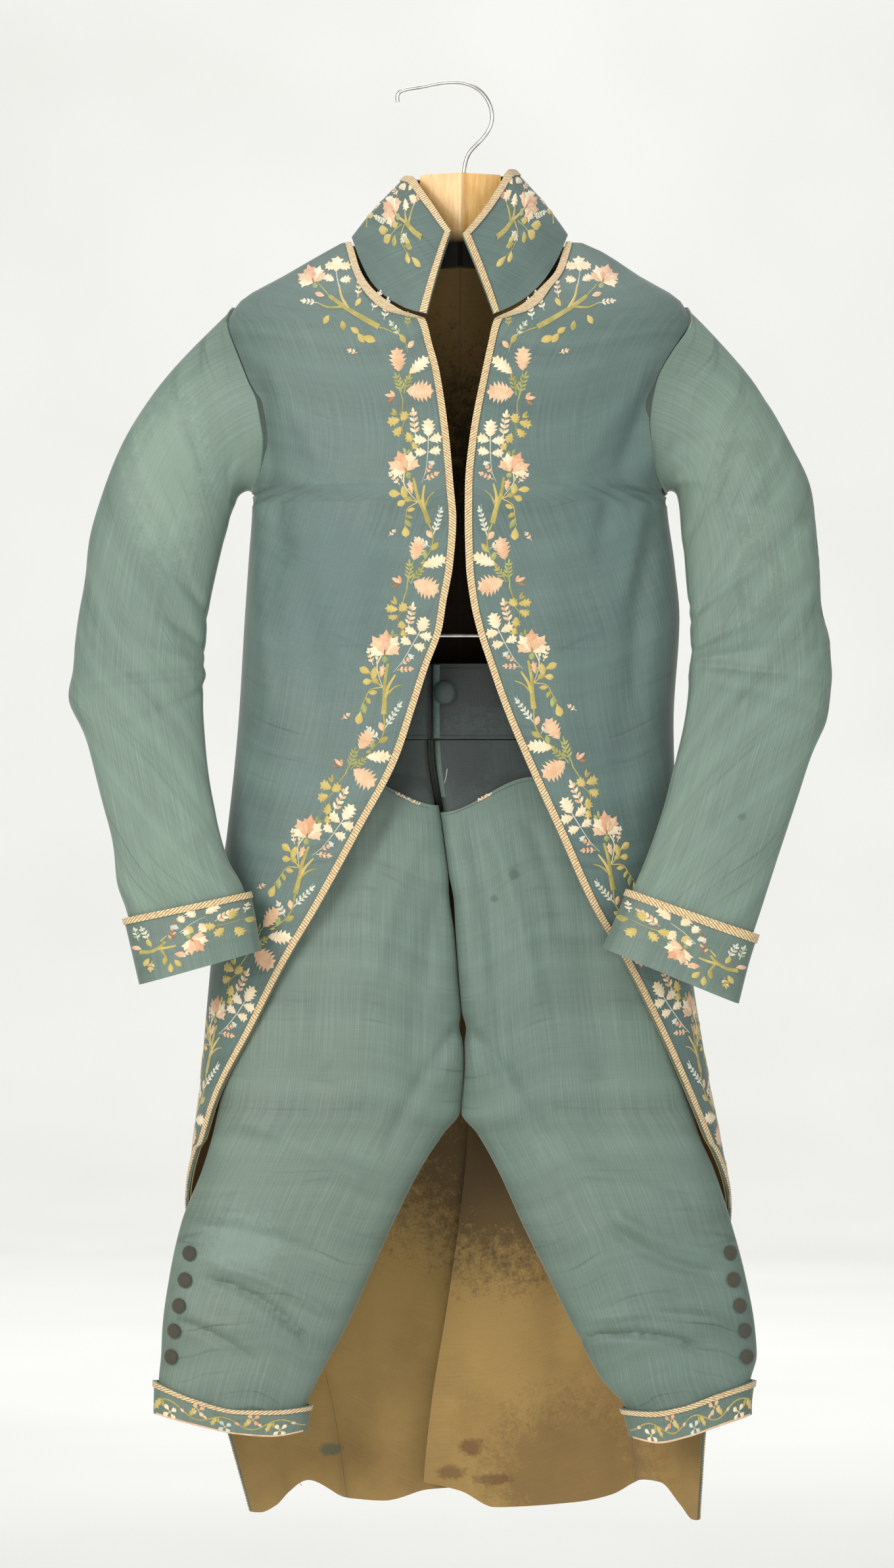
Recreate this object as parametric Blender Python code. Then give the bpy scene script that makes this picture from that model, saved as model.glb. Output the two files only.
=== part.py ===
# A silk coat and knee breeches of the 1770s, hanging on a hanger with a wire hook.
# Millimetres in the tables, metres in the scene. X runs to the viewer's right, Y away
# from the viewer, Z up. The origin is the inside of the hook, where it rests.
# side is -1 for the half on the viewer's left and 1 for the half on the viewer's right.

import math

import bpy
import numpy as np

MM = 0.001
GAP = 0.3
CLOTH = 2.0
LINING = 1.0
BRAID = 1.2
CUFF_CLOTH = 2.2

CENTRE = 2.0
WIRE = 3.3
KNEE_BUTTON = 13.0
WAIST_BUTTON = 20.0
VENT_TOP = -640.0

# The coat's horizontal sections, from the shoulders to the hem.
BODY = [
    dict(z=-1240, left=-196, right=232, front=-60, back=84, power=2.3),
    dict(z=-1158, left=-211, right=220, front=-64, back=88, power=2.3),
    dict(z=-1060, left=-228, right=230, front=-67, back=88, power=2.4),
    dict(z=-955, left=-230.5, right=231, front=-70, back=88, power=2.4),
    dict(z=-857, left=-219.5, right=215, front=-74, back=88, power=2.4),
    dict(z=-767, left=-211.7, right=200, front=-78, back=86, power=2.4),
    dict(z=-700, left=-205, right=192, front=-81, back=84, power=2.4),
    dict(z=-633, left=-195.5, right=185, front=-83, back=82, power=2.4),
    dict(z=-544, left=-186.5, right=183, front=-85, back=78, power=2.4),
    dict(z=-454, left=-181, right=188, front=-88, back=76, power=2.4),
    dict(z=-410, left=-178, right=184, front=-88, back=78, power=2.4),
    dict(z=-350, left=-174, right=177, front=-87, back=80, power=2.4),
    dict(z=-300, left=-182, right=184, front=-85, back=80, power=2.4),
    dict(z=-250, left=-191, right=192, front=-81, back=74, power=2.4),
    dict(z=-207, left=-196, right=198, front=-74, back=66, power=2.3),
    dict(z=-187, left=-186, right=190, front=-62, back=61, power=2.2),
    dict(z=-164, left=-148, right=154, front=-42, back=54, power=2.1),
    dict(z=-142, left=-110, right=120, front=-20, back=47, power=2.0),
    dict(z=-136, left=-99, right=106, front=-14, back=44, power=2.0),
]

# Where each front ends toward the opening: the neck seam, then the front edge.
EDGE = [
    dict(z=-899, left=-216, right=212, braid=5.5),
    dict(z=-859, left=-203, right=195, braid=5.5),
    dict(z=-799, left=-172, right=167.6, braid=5.8),
    dict(z=-746, left=-145, right=140.7, braid=6.2),
    dict(z=-697, left=-116, right=111.3, braid=6.4),
    dict(z=-632, left=-80.5, right=81.6, braid=6.4),
    dict(z=-575, left=-50.5, right=55.8, braid=6.2),
    dict(z=-532, left=-36, right=37.7, braid=5.8),
    dict(z=-498, left=-25, right=25.7, braid=5.7),
    dict(z=-466, left=-13.5, right=15.3, braid=5.5),
    dict(z=-444, left=-10, right=10.3, braid=5.5),
    dict(z=-413, left=-4.4, right=6.4, braid=5.5),
    dict(z=-375, left=-1.7, right=5.4, braid=5.5),
    dict(z=-348, left=-3.9, right=5.6, braid=5.5),
    dict(z=-306, left=-7.7, right=9.6, braid=5.5),
    dict(z=-250, left=-16, right=20.2, braid=5.5),
    dict(z=-228, left=-22, right=25, braid=5.5),
    dict(z=-207, left=-28, right=30.5, braid=6.5),
    dict(z=-202, left=-44, right=42, braid=13.0),
    dict(z=-194, left=-57, right=55, braid=12.0),
    dict(z=-179, left=-73.3, right=70, braid=8.0),
    dict(z=-164, left=-82, right=82, braid=6.5),
    dict(z=-142, left=-88.5, right=89.5, braid=6.0),
    dict(z=-136, left=-90.5, right=91.5, braid=5.5),
]

# From the hips down the front edge goes round the side to the back, in degrees from
# the side, and ends at the tip of the tail.
SKIRT_EDGE = [
    dict(z=-1240, left=30, right=29),
    dict(z=-1158, left=24, right=18),
    dict(z=-1110, left=20, right=16),
    dict(z=-1060, left=16, right=13),
    dict(z=-1000, left=10, right=8),
    dict(z=-955, left=1, right=-1),
    dict(z=-930, left=-6, right=-9),
    dict(z=-899, left=-14.5, right=-19),
]

# The two ends of the armhole at each height and the seam between front and back below
# it, in degrees from the side.
ARMHOLE = [
    dict(z=-357, front_left=27, front_right=27, back=27),
    dict(z=-354, front_left=14, front_right=14, back=27),
    dict(z=-350, front_left=-2, front_right=-2, back=26.5),
    dict(z=-342, front_left=-15, front_right=-16, back=26),
    dict(z=-325, front_left=-23, front_right=-27, back=25.5),
    dict(z=-300, front_left=-28, front_right=-32, back=25),
    dict(z=-275, front_left=-28, front_right=-33, back=23),
    dict(z=-256, front_left=-24, front_right=-32, back=20),
    dict(z=-228, front_left=-17, front_right=-24, back=15),
    dict(z=-207, front_left=-8, front_right=-11, back=8),
    dict(z=-190, front_left=0, front_right=0, back=0),
]
SIDE_SEAM = [
    dict(z=-1240, left=64, right=48),
    dict(z=-1000, left=60, right=50),
    dict(z=-700, left=56, right=54),
    dict(z=-480, left=57, right=57),
    dict(z=-420, left=46, right=46),
    dict(z=-357, left=27, right=27),
]

# The inner edges of the tails at the centre back, and how far the two lie apart.
VENT = [
    dict(z=-1240, left=34, right=-31, apart=10),
    dict(z=-1195, left=33, right=-29.3, apart=10),
    dict(z=-1128, left=32, right=-22.4, apart=9.5),
    dict(z=-1044, left=31, right=-8.8, apart=9),
    dict(z=-956, left=30, right=3.2, apart=8),
    dict(z=-896, left=29, right=8.3, apart=7),
    dict(z=-800, left=26, right=7, apart=5.5),
    dict(z=-690, left=1.8, right=3.0, apart=3.6),
    dict(z=VENT_TOP, left=CENTRE - 0.2, right=CENTRE + 0.2, apart=1.5),
    dict(z=-560, left=CENTRE - 0.2, right=CENTRE + 0.2, apart=0),
]

# Heights of the hem, by distance from the centre line toward the side.
HEM = [
    dict(out=-40, left=-1205, right=-1197),
    dict(out=0, left=-1206, right=-1206),
    dict(out=30, left=-1208, right=-1220),
    dict(out=66, left=-1216, right=-1219),
    dict(out=94, left=-1214, right=-1217),
    dict(out=131, left=-1196, right=-1209),
    dict(out=150, left=-1206, right=-1199),
    dict(out=160, left=-1216, right=-1194),
    dict(out=173, left=-1221, right=-1196),
    dict(out=190, left=-1216, right=-1214),
    dict(out=203, left=-1214, right=-1226),
    dict(out=232, left=-1214, right=-1226),
]

# The sleeves by stations from the armhole: outer and inner edge, depth and half thickness.
SLEEVES = {
    -1: [
        dict(at=0, ox=-193.6, oz=-193.7, ix=-171, iz=-341, y=0, thick=36),
        dict(at=1, ox=-222, oz=-222, ix=-181, iz=-345, y=-5, thick=34),
        dict(at=2, ox=-259, oz=-266, ix=-190, iz=-361, y=-10, thick=31),
        dict(at=3, ox=-287, oz=-313.5, ix=-198, iz=-388, y=-15, thick=29),
        dict(at=4, ox=-305, oz=-366, ix=-205, iz=-419, y=-20, thick=27),
        dict(at=5, ox=-316.5, oz=-427, ix=-211, iz=-455, y=-28, thick=26),
        dict(at=6, ox=-323, oz=-488, ix=-213, iz=-494, y=-38, thick=26),
        dict(at=7, ox=-321, oz=-524.6, ix=-214, iz=-524.6, y=-48, thick=25),
        dict(at=8, ox=-309, oz=-566, ix=-211.6, iz=-563, y=-58, thick=24),
        dict(at=9, ox=-295, oz=-622, ix=-204, iz=-613, y=-68, thick=23),
        dict(at=10, ox=-284, oz=-672, ix=-193, iz=-655, y=-75, thick=22),
        dict(at=11, ox=-274.6, oz=-705.8, ix=-177.6, iz=-686, y=-79, thick=21),
        dict(at=12, ox=-261.4, oz=-761, ix=-168, iz=-734.5, y=-82, thick=22),
    ],
    1: [
        dict(at=0, ox=194.4, oz=-190, ix=172, iz=-341, y=0, thick=36),
        dict(at=1, ox=224, oz=-222, ix=183, iz=-345, y=-5, thick=34),
        dict(at=2, ox=257, oz=-264.6, ix=187, iz=-358, y=-11, thick=31),
        dict(at=3, ox=282, oz=-311, ix=189, iz=-386, y=-18, thick=29),
        dict(at=4, ox=299.5, oz=-361, ix=192, iz=-416, y=-25, thick=27),
        dict(at=5, ox=305, oz=-416, ix=194, iz=-447, y=-34, thick=26),
        dict(at=6, ox=309, oz=-470, ix=195.5, iz=-480, y=-43, thick=26),
        dict(at=7, ox=313.4, oz=-503, ix=194, iz=-508, y=-52, thick=25),
        dict(at=8, ox=307, oz=-540, ix=190, iz=-538.4, y=-61, thick=24),
        dict(at=9, ox=289.5, oz=-588.4, ix=179, iz=-585, y=-70, thick=23),
        dict(at=10, ox=268, oz=-650, ix=161, iz=-645, y=-80, thick=22),
        dict(at=11, ox=243.5, oz=-718.6, ix=144.4, iz=-684.3, y=-89, thick=21),
        dict(at=12, ox=228.7, oz=-776.2, ix=123.6, iz=-732.5, y=-94, thick=22),
    ],
}
SLEEVE_ROWS = [0, 0.7, 1.5, 2.4, 3.3, 4, 4.6, 5.2, 5.8, 6.4, 7, 7.6, 8.2, 8.9, 9.7, 10.5, 11.15]
# Cross folds of the sleeves: station, how far across, depth and width.
SLEEVE_FOLDS = [
    dict(at=4.0, lean=0.5, deep=2.5, wide=0.5),
    dict(at=5.2, lean=-0.4, deep=-2.5, wide=0.45),
    dict(at=6.4, lean=0.4, deep=3.5, wide=0.45),
    dict(at=7.6, lean=-0.5, deep=3.0, wide=0.45),
    dict(at=8.9, lean=0.5, deep=-2.0, wide=0.5),
    dict(at=10.5, lean=-0.3, deep=2.0, wide=0.5),
]

# The legs of the breeches: the edges of each leg, its depth, and how far the cloth in
# front and behind stands out at the seams between the legs.
LEGS = [
    dict(z=-1150, out_left=-254, in_left=-132, out_right=245, in_right=150, y=-20, thick=21, seat=0),
    dict(z=-1121, out_left=-253.5, in_left=-128, out_right=244.5, in_right=141, y=-20, thick=22, seat=0),
    dict(z=-1099, out_left=-253, in_left=-119, out_right=247, in_right=122, y=-20, thick=24, seat=0),
    dict(z=-1077, out_left=-251, in_left=-107, out_right=252.5, in_right=109, y=-20, thick=27, seat=0),
    dict(z=-1055, out_left=-250, in_left=-95, out_right=251, in_right=98, y=-20, thick=29, seat=0),
    dict(z=-1011, out_left=-244, in_left=-75, out_right=243, in_right=76, y=-20, thick=30, seat=0),
    dict(z=-966, out_left=-234, in_left=-54.6, out_right=231, in_right=54, y=-20, thick=32, seat=0),
    dict(z=-920, out_left=-216, in_left=-31.5, out_right=216, in_right=33, y=-21, thick=34, seat=0),
    dict(z=-890, out_left=-207, in_left=-12, out_right=203, in_right=16, y=-22, thick=35, seat=0),
    dict(z=-872, out_left=-203, in_left=1.6, out_right=198, in_right=2.6, y=-22, thick=36, seat=1),
    dict(z=-829, out_left=-195, in_left=4.7, out_right=187, in_right=5.5, y=-23, thick=36, seat=14),
    dict(z=-757, out_left=-184, in_left=-0.3, out_right=178, in_right=0.4, y=-24, thick=35, seat=22),
    dict(z=-710, out_left=-178, in_left=-3.8, out_right=176, in_right=-3.4, y=-25, thick=32, seat=20),
    dict(z=-629, out_left=-170, in_left=-13.8, out_right=169, in_right=-13.4, y=-26, thick=24, seat=17),
    dict(z=-560, out_left=-164, in_left=-23.3, out_right=163, in_right=-23, y=-27, thick=15, seat=13),
    dict(z=-490, out_left=-158, in_left=-23.3, out_right=157, in_right=-23, y=-27, thick=11, seat=10),
]
LEG_ROWS = [-635, -685, -740, -790, -835, -872, -880, -905, -935, -965, -995, -1020, -1045, -1070]
# Folds that cross the legs above the knee bands: height at the outer edge, slope, depth, width.
LEG_FOLDS = [
    dict(z=-1040, slope=-22, deep=3.0, wide=12),
    dict(z=-1010, slope=-60, deep=-2.5, wide=13),
    dict(z=-955, slope=-30, deep=2.5, wide=16),
    dict(z=-900, slope=20, deep=-2.0, wide=18),
]
# The knee bands: heights of the top and bottom edge across the leg, outer edge first.
KNEE_BAND = [
    dict(across=0, top_left=-1099, low_left=-1126, top_right=-1098, low_right=-1127),
    dict(across=0.24, top_left=-1111, low_left=-1133, top_right=-1107, low_right=-1134),
    dict(across=0.55, top_left=-1120.5, low_left=-1141, top_right=-1118, low_right=-1144),
    dict(across=0.8, top_left=-1121, low_left=-1143.5, top_right=-1122, low_right=-1149),
    dict(across=1, top_left=-1119, low_left=-1140, top_right=-1121, low_right=-1145),
]
KNEE_BUTTONS = [
    dict(z=-989.7, left=-225.4, right=228.6),
    dict(z=-1012.2, left=-229.3, right=231.3),
    dict(z=-1034, left=-234.3, right=236.5),
    dict(z=-1055, left=-238.2, right=240.8),
    dict(z=-1077, left=-240.9, right=242.5),
]

# The stand collar from the viewer's left front round the neck: its seam and its top edge.
COLLAR = [
    dict(at=0, bx=-27, by=-75, bz=-206, tx=-6, ty=-58, tz=-132),
    dict(at=1, bx=-42, by=-71.5, bz=-202, tx=-13, ty=-48, tz=-121),
    dict(at=2, bx=-57, by=-63, bz=-194, tx=-22, ty=-36, tz=-106),
    dict(at=3, bx=-73, by=-50, bz=-179, tx=-31, ty=-23, tz=-92),
    dict(at=4, bx=-84, by=-29, bz=-157, tx=-38, ty=-9, tz=-81),
    dict(at=5, bx=-92, by=0, bz=-133, tx=-45, ty=8, tz=-79),
    dict(at=6, bx=-80, by=26, bz=-133, tx=-41, ty=23, tz=-79),
    dict(at=7, bx=-46, by=40, bz=-133, tx=-24, ty=33, tz=-78),
    dict(at=8, bx=2, by=44, bz=-133, tx=2, ty=37, tz=-77),
    dict(at=9, bx=50, by=40, bz=-133, tx=28, ty=33, tz=-76),
    dict(at=10, bx=84, by=26, bz=-133, tx=45, ty=23, tz=-75),
    dict(at=11, bx=95, by=0, bz=-131, tx=49, ty=8, tz=-74),
    dict(at=12, bx=86, by=-29, bz=-154, tx=43, ty=-9, tz=-75),
    dict(at=13, bx=73, by=-50, bz=-176, tx=35, ty=-23, tz=-89),
    dict(at=14, bx=57, by=-63, bz=-192, tx=25, ty=-36, tz=-106),
    dict(at=15, bx=42, by=-71.5, bz=-201, tx=14, ty=-48, tz=-122),
    dict(at=16, bx=30.5, by=-75, bz=-206, tx=3.5, ty=-58, tz=-135),
]

# The hanger's block and arms by distance from the centre.
HANGER = [
    dict(out=-158, top=-196, low=-206, front=-5, back=5),
    dict(out=-120, top=-168, low=-184, front=-8, back=8),
    dict(out=-91, top=-152, low=-170, front=-9, back=9),
    dict(out=-60, top=-143, low=-163, front=-9, back=9),
    dict(out=-38, top=-138, low=-160, front=-8, back=9),
    dict(out=-34, top=-78, low=-158, front=0, back=9),
    dict(out=0, top=-77, low=-156, front=-8, back=9),
    dict(out=34, top=-78, low=-158, front=0, back=9),
    dict(out=38, top=-138, low=-160, front=-8, back=9),
    dict(out=60, top=-143, low=-163, front=-9, back=9),
    dict(out=91, top=-152, low=-170, front=-9, back=9),
    dict(out=120, top=-168, low=-184, front=-8, back=8),
    dict(out=158, top=-196, low=-206, front=-5, back=5),
]
HOOK_PATH = [
    dict(x=-51, z=-16), dict(x=-53, z=-9), dict(x=-46, z=-5), dict(x=-33, z=-4),
    dict(x=-18, z=0), dict(x=0, z=WIRE / 2), dict(x=14, z=-2), dict(x=25, z=-12),
    dict(x=30, z=-26), dict(x=28, z=-38), dict(x=20, z=-49), dict(x=10, z=-57),
    dict(x=6, z=-66), dict(x=5, z=-76),
]
BAR_PATH = [
    dict(x=-140, z=-190), dict(x=-141, z=-330), dict(x=-140, z=-462), dict(x=-132, z=-470),
    dict(x=132, z=-470), dict(x=140, z=-462), dict(x=141, z=-330), dict(x=140, z=-190),
]
CLIP_X = 104.0

COLOURS = dict(
    silk=(0.14, 0.22, 0.205), sleeve_silk=(0.21, 0.30, 0.24), lining=(0.42, 0.29, 0.12),
    braid=(0.78, 0.58, 0.30), knee_button=(0.035, 0.032, 0.02), board=(0.66, 0.38, 0.11),
    wire=(0.62, 0.62, 0.60),
)


def paint(name, colour, roughness=0.8, metallic=0.0):
    material = bpy.data.materials.get(name)
    if material is None:
        material = bpy.data.materials.new(name)
        material.use_nodes = True
        shader = material.node_tree.nodes["Principled BSDF"]
        shader.inputs["Base Color"].default_value = (*COLOURS[colour], 1)
        shader.inputs["Roughness"].default_value = roughness
        shader.inputs["Metallic"].default_value = metallic
    return material


def ease(table, column, at):
    """Value of a column between the rows of a table, with no overshoot."""
    keys = list(table[0])
    x = np.array([row[keys[0]] for row in table], float)
    y = np.array([row[column] for row in table], float)
    at = min(max(float(at), x[0]), x[-1])
    i = min(max(int(np.searchsorted(x, at)) - 1, 0), len(x) - 2)
    secants = np.diff(y) / np.diff(x)

    def slope(k):
        if k in (0, len(x) - 1):
            return secants[min(k, len(secants) - 1)]
        a, b = secants[k - 1], secants[k]
        return 0.0 if a * b <= 0 else 2 * a * b / (a + b)

    width = x[i + 1] - x[i]
    t = (at - x[i]) / width
    return float(
        y[i] * (1 + 2 * t) * (1 - t) ** 2 + slope(i) * width * t * (1 - t) ** 2
        + y[i + 1] * t * t * (3 - 2 * t) + slope(i + 1) * width * t * t * (t - 1)
    )


def smooth(t):
    t = min(max(t, 0.0), 1.0)
    return t * t * (3 - 2 * t)


def hand(side):
    return "left" if side < 0 else "right"


def signed_power(value, power):
    return math.copysign(abs(value) ** power, value)


def body(side, angle, z):
    """Point on the coat's outside. angle is in degrees: -90 centre front, 0 side, 90 centre back."""
    half = abs(ease(BODY, hand(side), z) - CENTRE)
    power = 2 / ease(BODY, "power", z)
    turn = math.radians(angle)
    c, s = math.cos(turn), math.sin(turn)
    x = half * signed_power(c, power)
    deep = ease(BODY, "front", z) if s < 0 else ease(BODY, "back", z)
    y = deep * abs(s) ** power
    seam = ease(SIDE_SEAM, hand(side), z)
    pleated = smooth((-480 - z) / 700)
    wave = 6.5 * pleated * math.sin((angle - seam) / 10 * math.pi) * math.exp(-(((angle - seam) / 17) ** 2))
    grow = 1 + wave / math.hypot(x, y)
    if angle > 60 and z < -560:
        y -= side * ease(VENT, "apart", z) * smooth((angle - 66) / 18)
    return np.array([CENTRE + side * x * grow, y * grow, z])


def moved_out(surface, a, b, out, step_a=0.4, step_b=0.6):
    """The point of a surface at (a, b), moved out along its normal."""
    point = surface(a, b)
    across = surface(a + step_a, b) - surface(a - step_a, b)
    down = surface(a, b + step_b) - surface(a, b - step_b)
    normal = np.cross(across, down)
    return point + normal / np.linalg.norm(normal) * out


def coat_point(side, angle, z, out):
    return moved_out(lambda a, b: body(side, a, b), angle, z, out * side)


def angle_at(side, x, z):
    half = abs(ease(BODY, hand(side), z) - CENTRE)
    share = side * (x - CENTRE) / half
    return math.degrees(math.acos(signed_power(share, ease(BODY, "power", z) / 2)))


def front_edge(side, z):
    if z < -899:
        return ease(SKIRT_EDGE, hand(side), z)
    return -angle_at(side, ease(EDGE, hand(side), z), z)


def front_end(side, z):
    if z > -190:
        return 0.0
    if z > -357:
        return ease(ARMHOLE, "front_" + hand(side), z)
    return ease(SIDE_SEAM, hand(side), z)


def back_start(side, z):
    if z > -190:
        return 0.0
    if z > -357:
        return ease(ARMHOLE, "back", z)
    return ease(SIDE_SEAM, hand(side), z)


def spaced(side, z, start, end, count):
    """Angles from start to end that divide a section evenly by length."""
    angles = np.linspace(start, end, 60)
    points = np.array([body(side, a, z) for a in angles])
    run = np.concatenate([[0], np.cumsum(np.linalg.norm(np.diff(points, axis=0), axis=1))])
    return [float(np.interp(run[-1] * i / (count - 1), run, angles)) for i in range(count)]


def gap_angle(side, angle, z, width):
    """Degrees that this width takes on the section at this angle."""
    near = np.linalg.norm(body(side, angle + 0.5, z) - body(side, angle - 0.5, z))
    return width / near


def front_row(side, z):
    start = front_edge(side, z)
    end = front_end(side, z)
    end -= gap_angle(side, end - 1, z, GAP / 2 + 0.05)
    braid = ease(EDGE, "braid", max(z, -899))
    first = start + min(gap_angle(side, start + 1.5, z, braid), 0.4 * (end - start))
    pleats = max(end - 26, first + 0.45 * (end - first))
    return [start] + spaced(side, z, first, pleats, 6) + spaced(side, z, pleats, end, 6)[1:]


def back_row(side, z):
    start = back_start(side, z)
    start += gap_angle(side, start + 1, z, GAP / 2 + 0.05)
    if z > -560:
        end = angle_at(side, CENTRE + side * 0.2, z)
    else:
        end = angle_at(side, ease(VENT, hand(side), z), z)
    pleats = min(start + 20, start + 0.4 * (end - start))
    return spaced(side, z, start, pleats, 4) + spaced(side, z, pleats, end, 4)[1:]


TOP_ROWS = [-136, -150, -166, -182, -194, -207]
CHEST_ROWS = [-232, -262, -300, -328, -345, -351, -357.5]
WAIST_ROWS = [-392, -430, -466, -500, -540, -585, -632, -685, -740, -800, -860, -915, -960, -1000]
HEM_STEPS = [0.25, 0.5, 0.75, 1.0]


def panel_grid(side, row_of, heights, out):
    """Points of a coat panel, a row of columns for each height, and on down to the hem."""
    rows = [[coat_point(side, a, z, out) for a in row_of(side, z)] for z in heights]
    last = heights[-1]
    hems = []
    for column in range(len(rows[0])):
        z = -1200.0
        for _ in range(6):
            point = body(side, row_of(side, z)[column], z)
            z = ease(HEM, hand(side), side * (point[0] - CENTRE))
        hems.append(z)
    for step in HEM_STEPS:
        row = []
        for column, hem in enumerate(hems):
            z = last + (hem - last) * step
            row.append(coat_point(side, row_of(side, z)[column], z, out))
        rows.append(row)
    return np.array(rows)


def solid(name, outer, inner, material, ring=False):
    """A closed wall between two grids of points; ring joins the last column to the first."""
    rows, columns = outer.shape[:2]
    points = np.concatenate([outer.reshape(-1, 3), inner.reshape(-1, 3)]) * MM
    shift = rows * columns
    faces = []
    across = columns if ring else columns - 1
    for r in range(rows - 1):
        for c in range(across):
            d = (c + 1) % columns
            quad = [r * columns + c, r * columns + d, (r + 1) * columns + d, (r + 1) * columns + c]
            corners = points[quad]
            if np.linalg.norm(corners[1] - corners[3]) < np.linalg.norm(corners[0] - corners[2]):
                quad = quad[1:] + quad[:1]
            faces.append(quad)
            faces.append([k + shift for k in (quad[0], quad[3], quad[2], quad[1])])
    for r, turned in ((0, False), (rows - 1, True)):
        for c in range(across):
            d = (c + 1) % columns
            quad = [r * columns + d, r * columns + c, r * columns + c + shift, r * columns + d + shift]
            faces.append(quad[::-1] if turned else quad)
    if not ring:
        for c, turned in ((0, True), (columns - 1, False)):
            for r in range(rows - 1):
                a, b = r * columns + c, (r + 1) * columns + c
                quad = [b, a, a + shift, b + shift]
                faces.append(quad[::-1] if turned else quad)
    split = [t for q in faces for t in ([q[0], q[1], q[2]], [q[0], q[2], q[3]])]
    corners = points[np.array(split)]
    volume = np.einsum("ij,ij->i", corners[:, 0], np.cross(corners[:, 1], corners[:, 2])).sum()
    if volume < 0:
        split = [t[::-1] for t in split]
    mesh = bpy.data.meshes.new(name)
    mesh.from_pydata([tuple(p) for p in points], [], split)
    mesh.update()
    piece = bpy.data.objects.new(name, mesh)
    bpy.context.scene.collection.objects.link(piece)
    piece.data.materials.append(material)
    mesh.shade_smooth()
    mesh.set_sharp_from_angle(angle=math.radians(50))
    return piece


def layer(name, make, out, deep, material, ring=False):
    """A wall on a surface: its outer face is out from the surface and it is this deep."""
    return solid(name, make(out), make(out - deep), material, ring)


def make_coat_body():
    silk = paint("teal silk", "silk", 0.62)
    tan = paint("tan lining", "lining", 0.85)
    gold = paint("cream gold braid", "braid", 0.7)
    heights = TOP_ROWS + CHEST_ROWS + WAIST_ROWS
    skirts = WAIST_ROWS[4:]
    for side in (-1, 1):
        where = hand(side)
        layer(f"front_{where}", lambda out: panel_grid(side, front_row, heights, out), 0, CLOTH, silk)
        layer(f"back_{where}", lambda out: panel_grid(side, back_row, heights, out), 0, CLOTH, silk)
        under = -CLOTH - 2.5 * GAP
        layer(f"lining_back_{where}", lambda out: panel_grid(side, back_row, heights[1:], out),
              under, LINING, tan)
        layer(f"lining_front_{where}", lambda out: panel_grid(side, front_row, skirts, out),
              under, LINING, tan)
        edge = CHEST_ROWS + WAIST_ROWS
        layer(f"front_braid_{where}", lambda out: panel_grid(side, front_row, edge, out)[:, :2],
              GAP + BRAID, BRAID, gold)
        layer(f"neck_braid_{where}",
              lambda out: np.array([[coat_point(side, a, z, out) for a in front_row(side, z)[:2]]
                                    for z in TOP_ROWS]), GAP + BRAID, BRAID, gold)


def armhole_point(side, turn):
    """Point on the armhole, from the shoulder at 0 over the front to the underarm at 180."""
    z = -190.6 - (349.0 - 190.6) * (1 - math.cos(math.radians(turn))) / 2
    if turn <= 180:
        angle = ease(ARMHOLE, "front_" + hand(side), z)
    else:
        angle = ease(ARMHOLE, "back", z) * min(1.0, (360 - turn) / 25, (turn - 180) / 12)
    point = body(side, angle, z)
    return point + np.array([side * 2.9, 0, 0])


def sleeve(side, turn, at):
    """Point on a sleeve: turn 0 is the outer edge, 90 the front, 180 the inner edge."""
    rows = SLEEVES[side]
    ox, oz = ease(rows, "ox", at), ease(rows, "oz", at)
    ix, iz = ease(rows, "ix", at), ease(rows, "iz", at)
    c, s = math.cos(math.radians(turn)), math.sin(math.radians(turn))
    thick = ease(rows, "thick", at)
    fold = 0.0
    for row in SLEEVE_FOLDS:
        lean = row["lean"] * (c if side < 0 else -c)
        fold += row["deep"] * math.exp(-(((at - row["at"] - lean) / row["wide"]) ** 2)) * (0.55 + 0.45 * c)
    point = np.array([
        (ox + ix) / 2 + (ox - ix) / 2 * c,
        ease(rows, "y", at) - thick * signed_power(s, 0.85),
        (oz + iz) / 2 + (oz - iz) / 2 * c,
    ])
    point += fold * np.array([side * c, -s, 0])
    blend = smooth(at / 1.6)
    if blend < 1:
        point = point * blend + armhole_point(side, turn % 360) * (1 - blend)
    return point


def sleeve_grid(side, turns, stations, out):
    return np.array([
        [moved_out(lambda a, b: sleeve(side, a, b), turn, max(at, 0.03), out * side, 1.5, 0.03) for turn in turns]
        for at in stations
    ])


def make_sleeves():
    silk = paint("sleeve silk", "sleeve_silk", 0.62)
    gold = paint("cream gold braid", "braid", 0.7)
    for side in (-1, 1):
        where = hand(side)
        for name, start in (("sleeve_top", 0), ("sleeve_under", 180)):
            turns = np.linspace(start + 0.35, start + 179.65, 8)
            layer(f"{name}_{where}", lambda out: sleeve_grid(side, turns, SLEEVE_ROWS, out), 0, CLOTH, silk)
        ring = np.linspace(0, 360, 21)[:-1]
        base = 2.0 + CUFF_CLOTH
        layer(f"cuff_{where}", lambda out: sleeve_grid(side, ring, [11.0, 11.12, 11.56, 12.0], out),
              base, CUFF_CLOTH, silk, True)
        layer(f"cuff_braid_{where}", lambda out: sleeve_grid(side, ring, [11.0, 11.12], out),
              base + GAP + BRAID, BRAID, gold, True)


def collar_point(at, up, out):
    def surface(a, b):
        base = np.array([ease(COLLAR, k, a) for k in ("bx", "by", "bz")])
        top = np.array([ease(COLLAR, k, a) for k in ("tx", "ty", "tz")])
        bow = 2.5 * math.sin(math.pi * min(max(b, 0), 1))
        away = (base + top) / 2 - np.array([CENTRE, -10, 0])
        away[2] = 0
        return base + (top - base) * b + away / np.linalg.norm(away) * bow
    return moved_out(surface, at, up, -out, 0.05, 0.02)


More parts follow.
